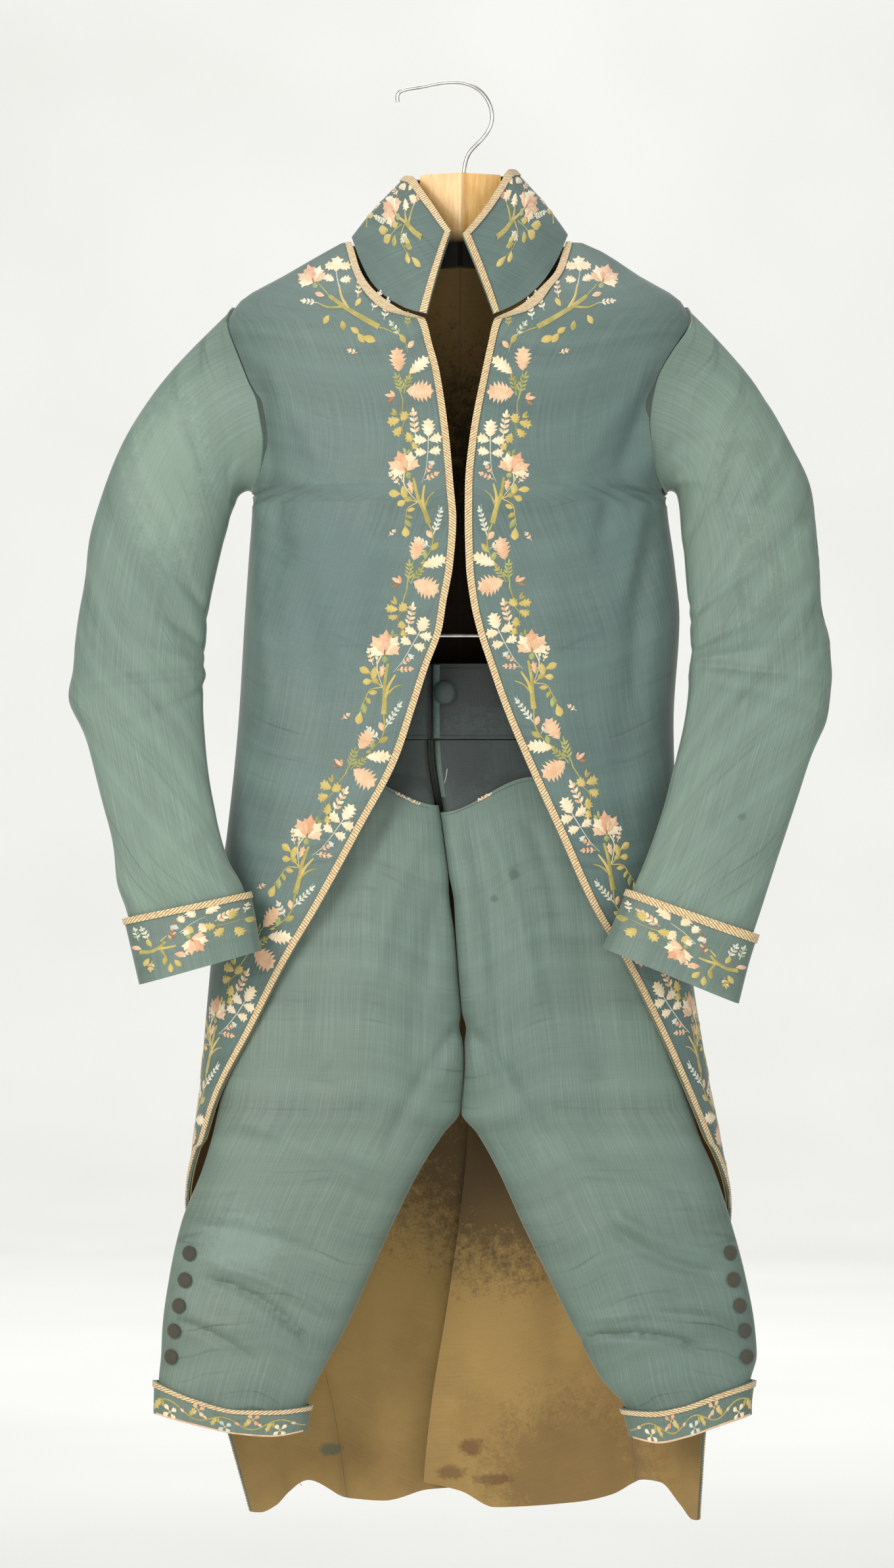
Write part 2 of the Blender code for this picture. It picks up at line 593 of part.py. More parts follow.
def make_collar():
    silk = paint("teal silk", "silk", 0.62)
    gold = paint("cream gold braid", "braid", 0.7)
    ats = [0, 0.4] + [0.4 + 15.2 * i / 24 for i in range(1, 25)] + [16]
    ups = [0.04, 0.33, 0.66, 0.93, 1.0]

    def grid(out, columns=slice(None), rows=slice(None)):
        return np.array([[collar_point(a, u, out) for a in ats[columns]] for u in ups[rows]])

    layer("collar", lambda out: grid(out), 0, CLOTH, silk)
    layer("collar_braid_top", lambda out: grid(out, slice(None), slice(3, 5)), GAP + BRAID, BRAID, gold)
    for where, ends in (("left", slice(0, 2)), ("right", slice(-2, None))):
        def strip(out, ends=ends):
            points = grid(out, ends, slice(0, 4))
            points[-1] = points[-1] * 0.97 + points[-2] * 0.03
            return points
        layer(f"collar_braid_{where}", strip, 2 * GAP + BRAID, BRAID, gold)


def leg(side, turn, z):
    """Point on a leg of the breeches: turn 0 outer edge, 90 front, 180 between the legs."""
    where = hand(side)
    c, s = math.cos(math.radians(turn)), math.sin(math.radians(turn))
    across = (1 - c) / 2
    outer, inner = ease(LEGS, "out_" + where, z), ease(LEGS, "in_" + where, z)
    seat = ease(LEGS, "seat", z) * max(across, 0) ** 3 * (1 if s > 0 else -1)
    fold = 0.0
    for row in LEG_FOLDS:
        height = row["z"] + row["slope"] * across
        fold += row["deep"] * math.exp(-(((z - height) / row["wide"]) ** 2)) * smooth(across * 5)
    y = ease(LEGS, "y", z) - (ease(LEGS, "thick", z) + fold) * signed_power(s, 0.85) - seat
    return np.array([outer + (inner - outer) * across, y, z])


def leg_point(side, turn, z, out):
    return moved_out(lambda a, b: leg(side, a, b), turn, z, -out * side, 1.5, 0.6)


def across_at(turn):
    return (1 - math.cos(math.radians(turn))) / 2


def fall_top(side, turn):
    """Height of the top edge of the front panels, which dips toward the centre."""
    dip = smooth((across_at(turn) - 0.55) / 0.45)
    return -589 - (24 if side < 0 else 30) * dip


def leg_grid(side, turns, heads, out):
    """Points of a leg panel: its own top rows, then down to just inside the knee band."""
    rows = [[leg_point(side, t, head(t), out) for t in turns] for head in heads]
    rows += [[leg_point(side, t, z, out) for t in turns] for z in LEG_ROWS]
    last = []
    for t in turns:
        z = ease(KNEE_BAND, "top_" + hand(side), across_at(t)) - 5
        last.append(leg_point(side, t, z, out))
    return np.array(rows + [last])


def turned(name, profile, centre, axis, material, segments=12):
    """A round solid: rows of the profile are radius and height along the axis."""
    axis = axis / np.linalg.norm(axis)
    across = np.cross(axis, [0, 0, 1.0])
    across /= np.linalg.norm(across)
    up = np.cross(axis, across)
    rings = []
    for radius, height in profile:
        angles = np.arange(segments) * 2 * math.pi / segments
        rings.append([centre + axis * height + radius * (math.cos(a) * across + math.sin(a) * up) for a in angles])
    return capped(name, np.array(rings), material)


def capped(name, rings, material):
    """A solid through closed rings of points, with flat ends."""
    count, size = rings.shape[:2]
    points = rings.reshape(-1, 3) * MM
    faces = []
    for r in range(count - 1):
        for c in range(size):
            d = (c + 1) % size
            a, b, e, f = r * size + c, r * size + d, (r + 1) * size + d, (r + 1) * size + c
            faces += [[a, b, e], [a, e, f]]
    for start, turn_it in ((0, True), ((count - 1) * size, False)):
        for c in range(1, size - 1):
            face = [start, start + c, start + c + 1]
            faces.append(face[::-1] if turn_it else face)
    corners = points[np.array(faces)]
    volume = np.einsum("ij,ij->i", corners[:, 0], np.cross(corners[:, 1], corners[:, 2])).sum()
    if volume < 0:
        faces = [f[::-1] for f in faces]
    mesh = bpy.data.meshes.new(name)
    mesh.from_pydata([tuple(p) for p in points], [], faces)
    mesh.update()
    piece = bpy.data.objects.new(name, mesh)
    bpy.context.scene.collection.objects.link(piece)
    piece.data.materials.append(material)
    mesh.shade_smooth()
    mesh.set_sharp_from_angle(angle=math.radians(40))
    return piece


def wire(name, path, material, segments=8):
    """A round wire along points in the XZ plane, which may lean in Y."""
    path = np.array(path, float)
    tangents = np.gradient(path, axis=0)
    rings = []
    for point, along in zip(path, tangents):
        along = along / np.linalg.norm(along)
        side_way = np.cross(along, [0, 1.0, 0])
        side_way /= np.linalg.norm(side_way)
        other = np.cross(along, side_way)
        angles = np.arange(segments) * 2 * math.pi / segments
        rings.append([point + WIRE / 2 * (math.cos(a) * side_way + math.sin(a) * other) for a in angles])
    return capped(name, np.array(rings), material)


def make_breeches():
    silk = paint("teal silk", "silk", 0.62)
    gold = paint("cream gold braid", "braid", 0.7)
    dark = paint("dark button cover", "knee_button", 0.7)
    front = np.linspace(0.5, 179.5, 8)
    back = np.linspace(180.5, 359.5, 8)
    for side in (-1, 1):
        where = hand(side)
        layer(f"breeches_front_{where}",
              lambda out: leg_grid(side, front, [lambda t: fall_top(side, t)], out), 0, CLOTH, silk)
        layer(f"breeches_back_{where}",
              lambda out: leg_grid(side, back, [lambda t: -557.8, lambda t: -590], out), 0, CLOTH, silk)
        layer(f"yoke_{where}",
              lambda out: np.array([[leg_point(side, t, z, out) for t in front[1:]] for z in (-557.8, -590, -622)]),
              -CLOTH - GAP - 0.7, 1.6, silk)
        turns = list(front) + list(back)
        layer(f"waistband_{where}",
              lambda out: np.array([[leg_point(side, t, z, out) for t in reversed(turn_from_centre(turns))]
                                    for z in (-494, -525, -557.2)]), 0, CLOTH, silk)

        def band(out, shares=(0, 0.16, 0.5, 1.0)):
            rows = []
            for share in shares:
                row = []
                for t in turns:
                    top = ease(KNEE_BAND, "top_" + where, across_at(t))
                    low = ease(KNEE_BAND, "low_" + where, across_at(t))
                    row.append(leg_point(side, t, top + (low - top) * share, out))
                rows.append(row)
            return np.array(rows)

        layer(f"knee_band_{where}", band, 1.7 + 2.2, 2.2, silk)
        layer(f"knee_braid_{where}", lambda out: band(out, (0, 0.16)), 3.9 + GAP + BRAID, BRAID, gold)
        for number, row in enumerate(KNEE_BUTTONS, 1):
            turn = min(np.linspace(8, 70, 249), key=lambda t: abs(leg(side, t, row["z"])[0] - row[where]))
            base = leg_point(side, turn, row["z"], 0.6)
            axis = leg_point(side, turn, row["z"], 1.6) - base
            r = KNEE_BUTTON / 2
            turned(f"knee_button_{where}_{number}",
                   [(r * 0.8, 0), (r, 1.2), (r * 0.85, 2.8), (r * 0.35, 3.8)], base, axis, dark, 10)
    r = WAIST_BUTTON / 2
    seat = min(leg_point(1, turn, -518.4, 0)[1] for turn in (142, 150, 158))
    base = np.array([-11.0, seat - 0.6, -518.4])
    turned("waist_button", [(r * 0.85, 0), (r, 1.2), (r * 0.95, 2.6), (r * 0.66, 4.2), (r * 0.22, 4.8)],
           base, np.array([0, -1.0, 0]), silk, 16)


def turn_from_centre(turns):
    """Turns in order from the centre front over the outer side to the centre back."""
    half = len(turns) // 2
    return turns[:half][::-1] + turns[half:][::-1]


def make_hanger():
    tan = paint("tan hanger board", "board", 0.6)
    steel = paint("steel wire", "wire", 0.3, 1.0)
    wire("hook", [(row["x"], 0.5, row["z"]) for row in HOOK_PATH], steel)
    rings = [[(r["out"] + CENTRE, r["front"], r["top"]), (r["out"] + CENTRE, r["back"], r["top"]),
              (r["out"] + CENTRE, r["back"], r["low"]), (r["out"] + CENTRE, r["front"], r["low"])] for r in HANGER]
    capped("hanger_board", np.array(rings, float), tan)
    path = [(row["x"], -27 * smooth((-200 - row["z"]) / 262), min(row["z"], -199.5)) for row in BAR_PATH]
    wire("trouser_bar", path, steel)
    jaw = [(-42, -512), (-41.5, -482), (-35, -466), (-27, -462), (-19, -466), (-12.5, -482), (-12, -512)]
    for side in (-1, 1):
        outer, inner = [], []
        for y, z in jaw:
            away = np.array([y + 27, max(z + 478, -2) * 0.8])
            away = away / np.linalg.norm(away) * 1.3
            outer.append([(side * CLIP_X + w, y, z) for w in (-9, 9)])
            inner.append([(side * CLIP_X + w, y - away[0], z - away[1]) for w in (-9, 9)])
        solid(f"clip_{hand(side)}", np.array(outer, float), np.array(inner, float), steel)


def clear_scene():
    for piece in list(bpy.data.objects):
        bpy.data.objects.remove(piece, do_unlink=True)


clear_scene()
make_coat_body()
make_sleeves()
make_collar()
make_breeches()
make_hanger()
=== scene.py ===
# A silk coat and knee breeches on a hanger: the looks.
# Sizes are in millimetres until a mesh is made. X to the viewer's right, Y away, Z up.
import math

import bpy
import numpy as np
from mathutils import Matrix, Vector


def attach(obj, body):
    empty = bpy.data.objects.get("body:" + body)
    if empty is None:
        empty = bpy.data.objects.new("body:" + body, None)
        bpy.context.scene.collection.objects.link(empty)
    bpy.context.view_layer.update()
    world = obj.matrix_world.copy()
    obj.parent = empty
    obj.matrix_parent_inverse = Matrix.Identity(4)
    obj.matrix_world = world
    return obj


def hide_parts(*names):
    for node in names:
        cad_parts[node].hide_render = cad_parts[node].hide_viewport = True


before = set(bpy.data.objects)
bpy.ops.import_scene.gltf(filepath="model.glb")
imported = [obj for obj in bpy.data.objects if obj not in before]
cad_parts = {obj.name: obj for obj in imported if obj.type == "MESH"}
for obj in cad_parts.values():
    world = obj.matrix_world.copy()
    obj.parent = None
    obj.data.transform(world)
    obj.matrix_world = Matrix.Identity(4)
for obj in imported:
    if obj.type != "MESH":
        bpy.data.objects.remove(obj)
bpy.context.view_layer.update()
print("frame loaded")

centreX = 2.0
mm = 0.001


def table(columns, rows):
    # rows of values as dictionaries; a short row leaves out its last columns
    return [dict(zip(columns.split(), row)) for row in rows]


# Sizes shared with the solids, by height in millimetres; left is the viewer's left.
coatSections = table("z left right front back power", [
    (-1240, -196, 232, -60, 84, 2.3),
    (-1158, -211, 220, -64, 88, 2.3),
    (-1060, -228, 230, -67, 88, 2.4),
    (-955, -230.5, 231, -70, 88, 2.4),
    (-857, -219.5, 215, -74, 88, 2.4),
    (-767, -211.7, 200, -78, 86, 2.4),
    (-700, -205, 192, -81, 84, 2.4),
    (-633, -195.5, 185, -83, 82, 2.4),
    (-544, -186.5, 183, -85, 78, 2.4),
    (-454, -181, 188, -88, 76, 2.4),
    (-410, -178, 184, -88, 78, 2.4),
    (-350, -174, 177, -87, 80, 2.4),
    (-300, -182, 184, -85, 80, 2.4),
    (-250, -191, 192, -81, 74, 2.4),
    (-207, -196, 198, -74, 66, 2.3),
    (-187, -186, 190, -62, 61, 2.2),
    (-164, -148, 154, -42, 54, 2.1),
    (-142, -110, 120, -20, 47, 2.0),
    (-136, -99, 106, -14, 44, 2.0),
])

frontEdges = table("z left right braid", [
    (-899, -216, 212, 5.5),
    (-859, -203, 195, 5.5),
    (-799, -172, 167.6, 5.8),
    (-746, -145, 140.7, 6.2),
    (-697, -116, 111.3, 6.4),
    (-632, -80.5, 81.6, 6.4),
    (-575, -50.5, 55.8, 6.2),
    (-532, -36, 37.7, 5.8),
    (-498, -25, 25.7, 5.7),
    (-466, -13.5, 15.3, 5.5),
    (-444, -10, 10.3, 5.5),
    (-413, -4.4, 6.4, 5.5),
    (-375, -1.7, 5.4, 5.5),
    (-348, -3.9, 5.6, 5.5),
    (-306, -7.7, 9.6, 5.5),
    (-250, -16, 20.2, 5.5),
    (-228, -22, 25, 5.5),
    (-207, -28, 30.5, 6.5),
    (-202, -44, 42, 13.0),
    (-194, -57, 55, 12.0),
    (-179, -73.3, 70, 8.0),
    (-164, -82, 82, 6.5),
    (-142, -88.5, 89.5, 6.0),
    (-136, -90.5, 91.5, 5.5),
])

skirtEdges = table("z left right", [
    (-1240, 30, 29),
    (-1158, 24, 18),
    (-1110, 20, 16),
    (-1060, 16, 13),
    (-1000, 10, 8),
    (-955, 1, -1),
    (-930, -6, -9),
    (-899, -14.5, -19),
])

armholes = table("z frontLeft frontRight back", [
    (-357, 27, 27, 27),
    (-354, 14, 14, 27),
    (-350, -2, -2, 26.5),
    (-342, -15, -16, 26),
    (-325, -23, -27, 25.5),
    (-300, -28, -32, 25),
    (-275, -28, -33, 23),
    (-256, -24, -32, 20),
    (-228, -17, -24, 15),
    (-207, -8, -11, 8),
    (-190, 0, 0, 0),
])

sideSeams = table("z left right", [
    (-1240, 64, 48),
    (-1000, 60, 50),
    (-700, 56, 54),
    (-480, 57, 57),
    (-420, 46, 46),
    (-357, 27, 27),
])

ventEdges = table("z left right apart", [
    (-1240, 34, -31, 10),
    (-1195, 33, -29.3, 10),
    (-1128, 32, -22.4, 9.5),
    (-1044, 31, -8.8, 9),
    (-956, 30, 3.2, 8),
    (-896, 29, 8.3, 7),
    (-800, 26, 7, 5.5),
    (-690, 1.8, 3.0, 3.6),
    (-640, centreX - 0.2, centreX + 0.2, 1.5),
    (-560, centreX - 0.2, centreX + 0.2, 0),
])

hemHeights = table("out left right", [
    (-40, -1205, -1197),
    (0, -1206, -1206),
    (30, -1208, -1220),
    (66, -1216, -1219),
    (94, -1214, -1217),
    (131, -1196, -1209),
    (150, -1206, -1199),
    (160, -1216, -1194),
    (173, -1221, -1196),
    (190, -1216, -1214),
    (203, -1214, -1226),
    (232, -1214, -1226),
])

sleeveStations = {
    -1: table("at ox oz ix iz y thick", [
        (0, -193.6, -193.7, -171, -341, 0, 36),
        (1, -222, -222, -181, -345, -5, 34),
        (2, -259, -266, -190, -361, -10, 31),
        (3, -287, -313.5, -198, -388, -15, 29),
        (4, -305, -366, -205, -419, -20, 27),
        (5, -316.5, -427, -211, -455, -28, 26),
        (6, -323, -488, -213, -494, -38, 26),
        (7, -321, -524.6, -214, -524.6, -48, 25),
        (8, -309, -566, -211.6, -563, -58, 24),
        (9, -295, -622, -204, -613, -68, 23),
        (10, -284, -672, -193, -655, -75, 22),
        (11, -274.6, -705.8, -177.6, -686, -79, 21),
        (12, -261.4, -761, -168, -734.5, -82, 22),
    ]),
    1: table("at ox oz ix iz y thick", [
        (0, 194.4, -190, 172, -341, 0, 36),
        (1, 224, -222, 183, -345, -5, 34),
        (2, 257, -264.6, 187, -358, -11, 31),
        (3, 282, -311, 189, -386, -18, 29),
        (4, 299.5, -361, 192, -416, -25, 27),
        (5, 305, -416, 194, -447, -34, 26),
        (6, 309, -470, 195.5, -480, -43, 26),
        (7, 313.4, -503, 194, -508, -52, 25),
        (8, 307, -540, 190, -538.4, -61, 24),
        (9, 289.5, -588.4, 179, -585, -70, 23),
        (10, 268, -650, 161, -645, -80, 22),
        (11, 243.5, -718.6, 144.4, -684.3, -89, 21),
        (12, 228.7, -776.2, 123.6, -732.5, -94, 22),
    ]),
}

sleeveFolds = table("at lean deep wide", [
    (4.0, 0.5, 2.5, 0.5),
    (5.2, -0.4, -2.5, 0.45),
    (6.4, 0.4, 3.5, 0.45),
    (7.6, -0.5, 3.0, 0.45),
    (8.9, 0.5, -2.0, 0.5),
    (10.5, -0.3, 2.0, 0.5),
])

legSections = table("z outLeft inLeft outRight inRight y thick seat", [
    (-1150, -254, -132, 245, 150, -20, 21, 0),
    (-1121, -253.5, -128, 244.5, 141, -20, 22, 0),
    (-1099, -253, -119, 247, 122, -20, 24, 0),
    (-1077, -251, -107, 252.5, 109, -20, 27, 0),
    (-1055, -250, -95, 251, 98, -20, 29, 0),
    (-1011, -244, -75, 243, 76, -20, 30, 0),
    (-966, -234, -54.6, 231, 54, -20, 32, 0),
    (-920, -216, -31.5, 216, 33, -21, 34, 0),
    (-890, -207, -12, 203, 16, -22, 35, 0),
    (-872, -203, 1.6, 198, 2.6, -22, 36, 1),
    (-829, -195, 4.7, 187, 5.5, -23, 36, 14),
    (-757, -184, -0.3, 178, 0.4, -24, 35, 22),
    (-710, -178, -3.8, 176, -3.4, -25, 32, 20),
    (-629, -170, -13.8, 169, -13.4, -26, 24, 17),
    (-560, -164, -23.3, 163, -23, -27, 15, 13),
    (-490, -158, -23.3, 157, -23, -27, 11, 10),
])

legFolds = table("z slope deep wide", [
    (-1040, -22, 3.0, 12),
    (-1010, -60, -2.5, 13),
    (-955, -30, 2.5, 16),
    (-900, 20, -2.0, 18),
])

kneeBandEdges = table("across topLeft lowLeft topRight lowRight", [
    (0, -1099, -1126, -1098, -1127),
    (0.24, -1111, -1133, -1107, -1134),
    (0.55, -1120.5, -1141, -1118, -1144),
    (0.8, -1121, -1143.5, -1122, -1149),
    (1, -1119, -1140, -1121, -1145),
])

kneeButtonPlaces = table("z left right", [
    (-989.7, -225.4, 228.6),
    (-1012.2, -229.3, 231.3),
    (-1034, -234.3, 236.5),
    (-1055, -238.2, 240.8),
    (-1077, -240.9, 242.5),
])

collarEdges = table("at bx by bz tx ty tz", [
    (0, -27, -75, -206, -6, -58, -132),
    (1, -42, -71.5, -202, -13, -48, -121),
    (2, -57, -63, -194, -22, -36, -106),
    (3, -73, -50, -179, -31, -23, -92),
    (4, -84, -29, -157, -38, -9, -81),
    (5, -92, 0, -133, -45, 8, -79),
    (6, -80, 26, -133, -41, 23, -79),
    (7, -46, 40, -133, -24, 33, -78),
    (8, 2, 44, -133, 2, 37, -77),
    (9, 50, 40, -133, 28, 33, -76),
    (10, 84, 26, -133, 45, 23, -75),
    (11, 95, 0, -131, 49, 8, -74),
    (12, 86, -29, -154, 43, -9, -75),
    (13, 73, -50, -176, 35, -23, -89),
    (14, 57, -63, -192, 25, -36, -106),
    (15, 42, -71.5, -201, 14, -48, -122),
    (16, 30.5, -75, -206, 3.5, -58, -135),
])

hookPath = table("x z", [
    (-51, -16),
    (-53, -9),
    (-46, -5),
    (-33, -4),
    (-18, 0),
    (0, 1.65),
    (14, -2),
    (25, -12),
    (30, -26),
    (28, -38),
    (20, -49),
    (10, -57),
    (6, -66),
    (5, -76),
])


def hand(side):
    return "Left" if side < 0 else "Right"


def low(side):
    return "left" if side < 0 else "right"


curveCache = {}


def curveOf(rows, column, at):
    # a column of a table as a curve through its rows, with no overshoot
    key = (id(rows), column)
    if key not in curveCache:
        first = list(rows[0])[0]
        x = np.array([row[first] for row in rows], float)
        y = np.array([row[column] for row in rows], float)
        secants = np.diff(y) / np.diff(x)
        slopes = np.empty(len(x))
        slopes[0], slopes[-1] = secants[0], secants[-1]
        before, after = secants[:-1], secants[1:]
        both = before + after
        slopes[1:-1] = np.where(before * after > 0, 2 * before * after / np.where(both == 0, 1, both), 0)
        curveCache[key] = (x, y, slopes)
    x, y, slopes = curveCache[key]
    at = np.clip(at, x[0], x[-1])
    i = np.clip(np.searchsorted(x, at) - 1, 0, len(x) - 2)
    width = x[i + 1] - x[i]
    t = (at - x[i]) / width
    return (y[i] * (1 + 2 * t) * (1 - t) ** 2 + slopes[i] * width * t * (1 - t) ** 2
            + y[i + 1] * t * t * (3 - 2 * t) + slopes[i + 1] * width * t * t * (t - 1))


def smooth(t):
    t = np.clip(t, 0, 1)
    return t * t * (3 - 2 * t)


def signedPower(value, power):
    return np.sign(value) * np.abs(value) ** power


def stack(x, y, z):
    return np.stack(np.broadcast_arrays(x, y, z), axis=-1)


def coatSurface(side, angle, z):
    # -90 is the centre front, 0 the side and 90 the centre back
    half = np.abs(curveOf(coatSections, low(side), z) - centreX)
    power = 2 / curveOf(coatSections, "power", z)
    turn = np.radians(angle)
    c, s = np.cos(turn), np.sin(turn)
    x = half * signedPower(c, power)
    deep = np.where(s < 0, curveOf(coatSections, "front", z), curveOf(coatSections, "back", z))
    y = deep * np.abs(s) ** power
    seam = curveOf(sideSeams, low(side), z)
    pleated = smooth((-480 - z) / 700)
    wave = 6.5 * pleated * np.sin((angle - seam) / 10 * math.pi) * np.exp(-(((angle - seam) / 17) ** 2))
    grow = 1 + wave / np.maximum(np.hypot(x, y), 1)
    apart = side * curveOf(ventEdges, "apart", z) * smooth((angle - 66) / 18)
    y = y - np.where((angle > 60) & (z < -560), apart, 0)
    return stack(centreX + side * x * grow, y * grow, z)


def movedOut(surface, a, b, out, stepA, stepB):
    # points of a surface moved out along its normals
    point = surface(a, b)
    across = surface(a + stepA, b) - surface(a - stepA, b)
    down = surface(a, b + stepB) - surface(a, b - stepB)
    normal = np.cross(across, down)
    normal /= np.linalg.norm(normal, axis=-1, keepdims=True)
    return point + normal * np.asarray(out)[..., None], normal


def creaseDepth(rows, x, z):
    # soft ridges and troughs along short lines in the front view
    total = np.zeros(np.broadcast(x, z).shape)
    for row in rows:
        ax, az, bx, bz = row["x1"], row["z1"], row["x2"], row["z2"]
        length = math.hypot(bx - ax, bz - az)
        ux, uz = (bx - ax) / length, (bz - az) / length
        along = ((x - ax) * ux + (z - az) * uz) / length
        off = (x - ax) * -uz + (z - az) * ux + row.get("bow", 0) * (1 - (2 * along - 1) ** 2)
        fade = smooth(along * 4 + 0.6) * smooth((1 - along) * 4 + 0.6)
        total += row["deep"] * np.exp(-((off / row["wide"]) ** 2)) * fade
    return total


# Creases of the coat's fronts: from the armhole toward the waist, and by the side.
coatCreases = table("x1 z1 x2 z2 deep wide bow", [
    (165, -262, 118, -400, -3.9, 8, 4),
    (158, -250, 92, -352, 3.1, 9, 3),
    (166, -300, 140, -430, 3.4, 8, -3),
    (168, -330, 150, -520, -2.9, 9, 4),
    (150, -236, 70, -296, -1.8, 10, 2),
    (-166, -262, -146, -400, -3.4, 8, 3),
    (-160, -250, -112, -330, 2.3, 9, -2),
    (-168, -320, -160, -520, 2.3, 8, 2),
    (-60, -330, -92, -520, 1.6, 16, 4),
    (80, -420, 104, -640, 1.8, 16, 5),
    (-130, -430, -120, -640, -2.0, 14, -5),
    (150, -430, 142, -640, -2.1, 14, 5),
    (-176, -560, -196, -800, 2.3, 9, 4),
    (172, -560, 190, -800, 2.3, 9, -4),
])
# The same on the backs, between the shoulders and down to the pleats.
backCreases = table("x1 z1 x2 z2 deep wide bow", [
    (-150, -270, -70, -380, -2.2, 10, 4),
    (152, -262, 84, -370, -2.4, 10, -3),
    (-158, -250, -40, -300, 1.8, 12, 3),
    (150, -240, 30, -290, 1.8, 12, -4),
    (-60, -400, -40, -620, 1.8, 14, 4),
    (66, -410, 44, -600, -1.8, 14, -4),
    (-70, -640, -84, -1180, 1.6, 12, 3),
    (60, -660, 92, -1190, 1.6, 12, -4),
    (20, -720, 26, -1180, -1.4, 13, 5),
])


def coatPoint(side, angle, z, out):
    base = coatSurface(side, angle, z)
    x = base[..., 0]
    y = base[..., 1]
    front = smooth(-y / 25)
    back = smooth(y / 25)
    bulge = creaseDepth(coatCreases, x, z) * front + creaseDepth(backCreases, x, z) * back
    bulge = bulge * smooth((-195 - z) / 25 + (np.abs(x) < 120))
    point, _ = movedOut(lambda a, b: coatSurface(side, a, b), angle, z, (out + bulge) * side, 0.3, 0.5)
    return point


def angleAt(side, x, z):
    half = np.abs(curveOf(coatSections, low(side), z) - centreX)
    share = np.clip(side * (x - centreX) / half, -1, 1)
    return np.degrees(np.arccos(signedPower(share, curveOf(coatSections, "power", z) / 2)))


def frontEdgeAt(side, z):
    upper = -angleAt(side, curveOf(frontEdges, low(side), z), z)
    return np.where(z < -899, curveOf(skirtEdges, low(side), z), upper)


def frontEndAt(side, z):
    seam = curveOf(sideSeams, low(side), z)
    hole = curveOf(armholes, "front" + hand(side), z)
    return np.where(z > -190, 0, np.where(z > -357, hole, seam))


def backStartAt(side, z):
    seam = curveOf(sideSeams, low(side), z)
    return np.where(z > -190, 0, np.where(z > -357, curveOf(armholes, "back", z), seam))


def spreadAngles(side, z, start, end, count):
    # angles from start to end that divide each section evenly by length
    share = np.linspace(0, 1, 80)
    angles = start[:, None] + (end - start)[:, None] * share
    points = coatSurface(side, angles, z[:, None])
    steps = np.linalg.norm(np.diff(points, axis=1), axis=2)
    run = np.concatenate([np.zeros((len(z), 1)), np.cumsum(steps, axis=1)], axis=1)
    wanted = np.linspace(0, 1, count)
    return np.array([np.interp(wanted * r[-1], r, a) for r, a in zip(run, angles)])


def gapAngle(side, angle, z, width):
    near = coatSurface(side, angle + 0.5, z) - coatSurface(side, angle - 0.5, z)
    return width / np.linalg.norm(near, axis=-1)


def frontAngles(side, z, count):
    start = frontEdgeAt(side, z)
    end = frontEndAt(side, z)
    end = end - gapAngle(side, end - 1, z, 0.2)
    return spreadAngles(side, z, start, end, count)


def backAngles(side, z, count):
    start = backStartAt(side, z)
    start = start + gapAngle(side, start + 1, z, 0.2)
    closed = angleAt(side, np.full(z.shape, centreX + side * 0.2), z)
    vent = angleAt(side, curveOf(ventEdges, low(side), z), z)
    return spreadAngles(side, z, start, np.where(z > -560, closed, vent), count)


def armholePoint(side, turn):
    z = -190.6 - 158.4 * (1 - np.cos(np.radians(turn))) / 2
    front = curveOf(armholes, "front" + hand(side), z)
    fade = np.minimum(1, np.minimum((360 - turn) / 25, (turn - 180) / 12))
    angle = np.where(turn <= 180, front, curveOf(armholes, "back", z) * fade)
    return coatSurface(side, angle, z) + np.array([side * 1.0, 0, 0])


